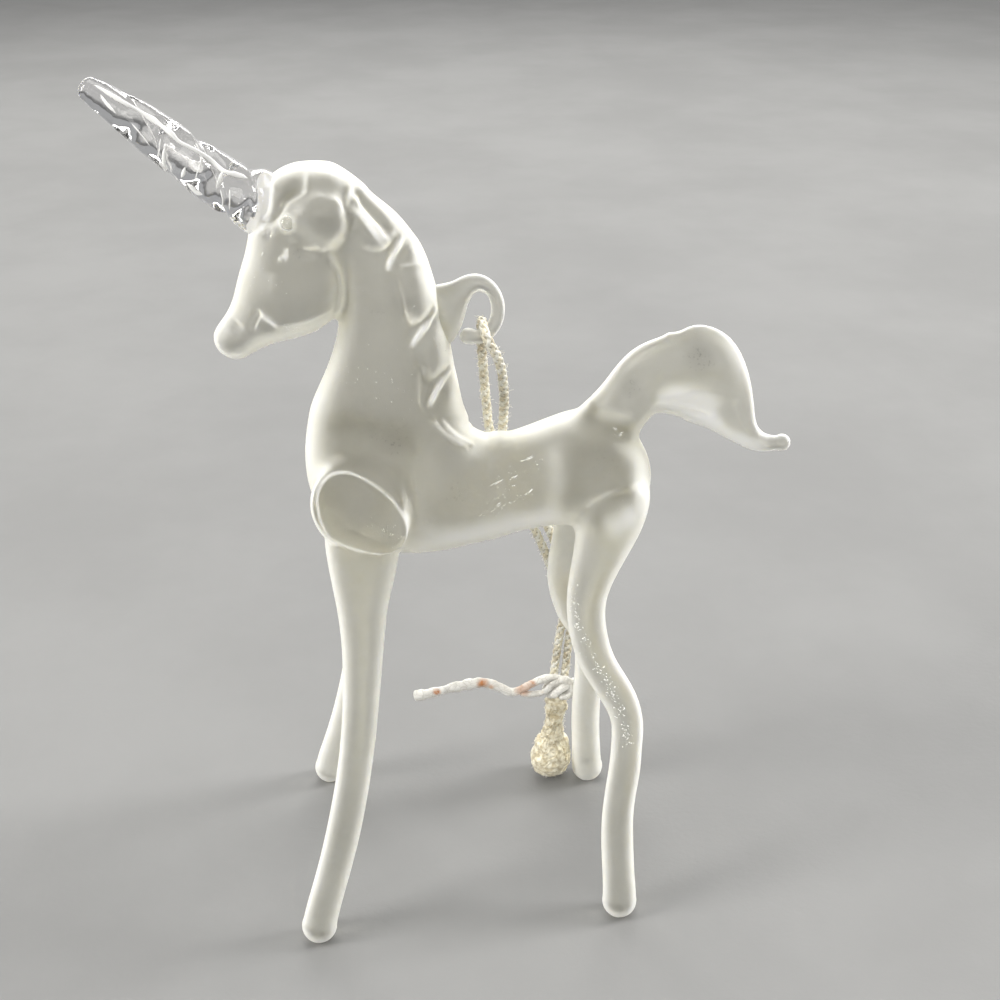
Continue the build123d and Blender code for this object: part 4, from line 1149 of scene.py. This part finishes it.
# -------------------------------------------------------------------- horn
HORN = row([(-44.30, 0, 107.95), (-43.07, 0, 107.05), (-41.12, 0, 105.62), (-39.10, 0, 104.07), (-37.01, 0, 102.30),
            (-35.49, 0, 101.00), (-34.08, 0, 99.80), (-31.35, 0, 97.75), (-29.09, 0, 96.30), (-27.60, 0, 95.50),
            (-26.00, 0, 94.70), (-24.60, 0, 94.00)])
HORN_R = [1.30, 1.64, 1.94, 2.24, 2.44, 2.56, 2.62, 2.80, 3.05, 3.45, 3.50, 3.2]
line = curve_through([(*p, r) for p, r in zip(HORN, HORN_R)], 0.09)
radius, line = line[:, 3], line[:, :3]
s = lengths_along(line)
tangent, side, up = frames_along(line, (0, 1, 0))
# round the tip: a half ball ahead of the first station
tip = np.linspace(0, math.pi / 2, 14)[:-1]
tip_c = line[0] - tangent[0] * (np.cos(tip) * 0.95)[:, None]
line = np.vstack([tip_c, line])
radius = np.concatenate([1.30 * np.sin(tip) + 1e-3, radius])
side = np.vstack([np.repeat(side[:1], len(tip), 0), side])
up = np.vstack([np.repeat(up[:1], len(tip), 0), up])
s = np.concatenate([-(np.cos(tip) * 0.95), s])
SIDES = 120
a = np.linspace(0, 2 * math.pi, SIDES, endpoint=False)
total = s[-1]
twist = np.interp(s, [-1, 3, 8.5, 16.8, 21.8, total], np.radians([-35, 0, 90, 270, 450, 520]))
amount = np.interp(s, [-1, 1.5, 6, 18, 21.5, total], [0, 0.03, 0.17, 0.21, 0.15, 0.02])
A, T = np.meshgrid(a, twist)
wave = np.abs(np.cos(A - T))                      # two rounded flutes with a valley between
valley = 1 - np.exp(-(wave / 0.42) ** 2)
R = radius[:, None] * (1.03 + amount[:, None] * (valley - 0.86))
ring = side[:, None] * np.cos(a)[None, :, None] + up[:, None] * np.sin(a)[None, :, None]
pts = line[:, None] + ring * R[:, :, None]
flat = pts.reshape(-1, 3)
bumps = 0.10 * smooth_noise(flat, 2.2, 21) + 0.035 * smooth_noise(flat, 0.9, 22)
keep = np.interp(s, [-1, 0, 2], [0.0, 0.2, 1.0])
flat = flat + (ring * (bumps.reshape(R.shape) * keep[:, None])[:, :, None]).reshape(-1, 3)
horn = Shape()
faces = []
n = len(line)
for i in range(n - 1):
    for k in range(SIDES):
        k2 = (k + 1) % SIDES
        faces.append((i * SIDES + k, i * SIDES + k2, (i + 1) * SIDES + k2, (i + 1) * SIDES + k))
verts = np.vstack([flat, line[:1] - tangent[0] * 0.002, line[-1:] + tangent[-1] * 0.6])
for k in range(SIDES):
    k2 = (k + 1) % SIDES
    faces += [(n * SIDES, k2, k), (n * SIDES + 1, (n - 1) * SIDES + k, (n - 1) * SIDES + k2)]
horn.add(verts, faces)
horn.make("horn_twisted", "clear", "figurine", "clear_glass", ["horn"])

# painted highlights: whitish streaks drawn out along the horn's twist, melted into its surface, where the twist catches
# the light
horn_surface = BVHTree.FromPolygons(verts.tolist(), faces)
NEAR_SIDE = Vector((0.03, 0.88, -0.47)).normalized()
streaks = Shape()
LONG = [(-43.3, -0.35, 108.15), (-41.99, -0.8, 107.45), (-40.49, -1.0, 106.5), (-38.64, -1.2, 105.5), (-37.37, -1.3, 104.6),
        (-36.48, -1.4, 103.9), (-35.72, -1.4, 103.1), (-34.86, -1.3, 102.2), (-33.33, -1.3, 101.3), (-31.84, -1.4, 100.3),
        (-30.49, -1.5, 99.1), (-29.08, -1.6, 98.6), (-27.9, -1.6, 98.3)]
WIDE = [0.10, 0.22, 0.30, 0.25, 0.38, 0.24, 0.40, 0.22, 0.27, 0.38, 0.22, 0.38, 0.16]


def streak(points, wide, thick=0.10):
    path = curve_through([(*p, w) for p, w in zip(row(points), np.broadcast_to(wide, len(points)))], 0.12)
    path, w = path[:, :3], np.maximum(path[:, 3], 0.03)
    ends = np.minimum(lengths_along(path), lengths_along(path)[-1] - lengths_along(path))
    w = w * np.sqrt(np.clip(ends / 0.5, 0.03, 1)) * (1 + 0.25 * smooth_noise(path, 0.8, 31))
    way = NEAR_SIDE * (1 if path[:, 1].mean() < 0 else -1)
    laid = []
    for p in path:
        at = horn_surface.ray_cast(Vector(p) - way * 12, way)[0]
        laid.append(np.array(at) if at is not None else p)
    laid = np.array(laid) - np.array(way) * 0.07
    for _ in range(2):
        laid[1:-1] = 0.5 * laid[1:-1] + 0.25 * (laid[:-2] + laid[2:])
    streaks.sweep(laid, w, np.minimum(w * 0.6, thick), 8, frames_along(laid, (0, 0, 1)), tone=0.5)


streak(LONG, WIDE)
for points, wide in (
        ([(-36.75, -1.2, 102.4), (-37.1, -1.5, 101.3), (-37.6, -1.1, 100.3)], 0.09),
        ([(-36.4, -1.3, 101.5), (-36.7, -1.5, 100.3), (-37.0, -1.1, 99.4)], [0.10, 0.26, 0.38]),
        ([(-34.40, -1.6, 99.4), (-34.7, -1.6, 98.7), (-35.0, -1.3, 98.2)], [0.16, 0.22, 0.10]),
        ([(-30.53, -1.7, 99.0), (-30.9, -1.9, 98.0), (-31.3, -1.8, 97.2)], [0.32, 0.34, 0.20]),
        ([(-29.80, -2.0, 97.0), (-29.9, -2.2, 95.8), (-30.05, -1.8, 94.7)], 0.11),
        ([(-32.80, -1.7, 99.9), (-33.2, -1.8, 98.8), (-33.45, -1.3, 97.8)], 0.07),
        ([(-42.7, -0.6, 107.1), (-42.1, -0.7, 106.1), (-41.2, -0.7, 105.0)], [0.10, 0.22, 0.08]),
        ([(-39.6, -0.9, 103.9), (-38.7, -1.0, 102.7), (-38.0, -0.8, 101.5)], 0.08),
        ([(-37.35, -0.5, 99.9), (-36.95, -0.7, 99.3)], 0.26),
        ([(-34.4, -0.8, 97.3), (-33.5, -1.2, 96.6), (-32.9, -1.0, 96.1)], [0.20, 0.34, 0.18]),
        ([(-30.9, -1.7, 97.0), (-30.75, -1.9, 95.8), (-31.3, -1.5, 94.9)], 0.08),
        ([(-41.0, 1.0, 106.0), (-38.0, 1.4, 102.9), (-35.0, 1.5, 100.1), (-31.5, 1.6, 97.3)], 0.10)):
    streak(points, wide)
for at, size in (((-28.2, -2.0, 95.9), 0.16), ((-28.4, -2.1, 95.0), 0.11), ((-28.9, -2.0, 95.4), 0.08), ((-36.2, -1.2, 100.6), 0.09)):
    at = np.array(at)
    streak([at - (size, 0, 0), at, at + (size, 0, 0)], size, size)
streaks.make("horn_highlight_streaks", "streak", "figurine", "clear_glass")

# ------------------------------------------------------------ floor, lights
t = Tree("floor")
mottle = t.noise(14, 5, 0.6)
fine_noise = t.noise(900, 3, 0.6)
colour = t.ramp(mottle, [(0.3, (0.215, 0.215, 0.213)), (0.7, (0.24, 0.24, 0.238))])
t.principled(Base_Color=colour, Roughness=0.9, Specular_IOR_Level=0.2, Normal=t.bump(fine_noise, 0.25, 0.0002))
MATERIALS["floor"] = t.m
floor_me = bpy.data.meshes.new("floor")
floor_me.from_pydata([(-4, -4, 0), (4, -4, 0), (4, 4, 0), (-4, 4, 0)], [], [(0, 1, 2, 3)])
floor_me.materials.append(t.m)
floor = bpy.data.objects.new("floor", floor_me)
scene.collection.objects.link(floor)
floor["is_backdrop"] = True


def soft_light(name, place_at, target, size, power, colour=(1, 1, 1)):
    data = bpy.data.lights.new(name, "AREA")
    data.shape = "RECTANGLE"
    data.size, data.size_y = size
    data.energy = power
    data.color = colour
    ob = bpy.data.objects.new(name, data)
    scene.collection.objects.link(ob)
    ob.location = place_at
    ob.rotation_euler = (Vector(target) - Vector(place_at)).to_track_quat("-Z", "Y").to_euler()


middle = (0.0, 0.0, 0.06)


def wide_light(name, direction, strength, width, colour):
    """Even light from one part of the room, the same everywhere."""
    data = bpy.data.lights.new(name, "SUN")
    data.energy = strength
    data.angle = math.radians(width)
    data.color = colour
    ob = bpy.data.objects.new(name, data)
    scene.collection.objects.link(ob)
    ob.location = direction
    ob.rotation_euler = (-Vector(direction)).to_track_quat("-Z", "Y").to_euler()


wide_light("over", (0.0, 0.1, 4.0), 0.55, 55, (1.0, 0.99, 0.97))
wide_light("low", (0.10, -1.0, 0.16), 1.0, 40, (1.0, 0.985, 0.95))
soft_light("top", (0.02, 0.05, 0.75), middle, (0.5, 0.35), 1.6, (1.0, 0.99, 0.96))
soft_light("left", (-0.62, -0.15, 0.36), middle, (0.25, 0.5), 4.7, (1.0, 0.985, 0.95))
soft_light("right", (0.62, 0.10, 0.36), middle, (0.2, 0.5), 5.0, (1.0, 0.99, 0.97))
soft_light("back", (-0.05, 0.62, 0.46), middle, (0.7, 0.2), 4.0, (1.0, 0.99, 0.96))
world = bpy.data.worlds.new("studio")
scene.world = world
world.use_nodes = True
bg = world.node_tree.nodes["Background"]
bg.inputs["Color"].default_value = (0.86, 0.87, 0.88, 1)
bg.inputs["Strength"].default_value = 0.42

bpy.context.view_layer.update()
lo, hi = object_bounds()
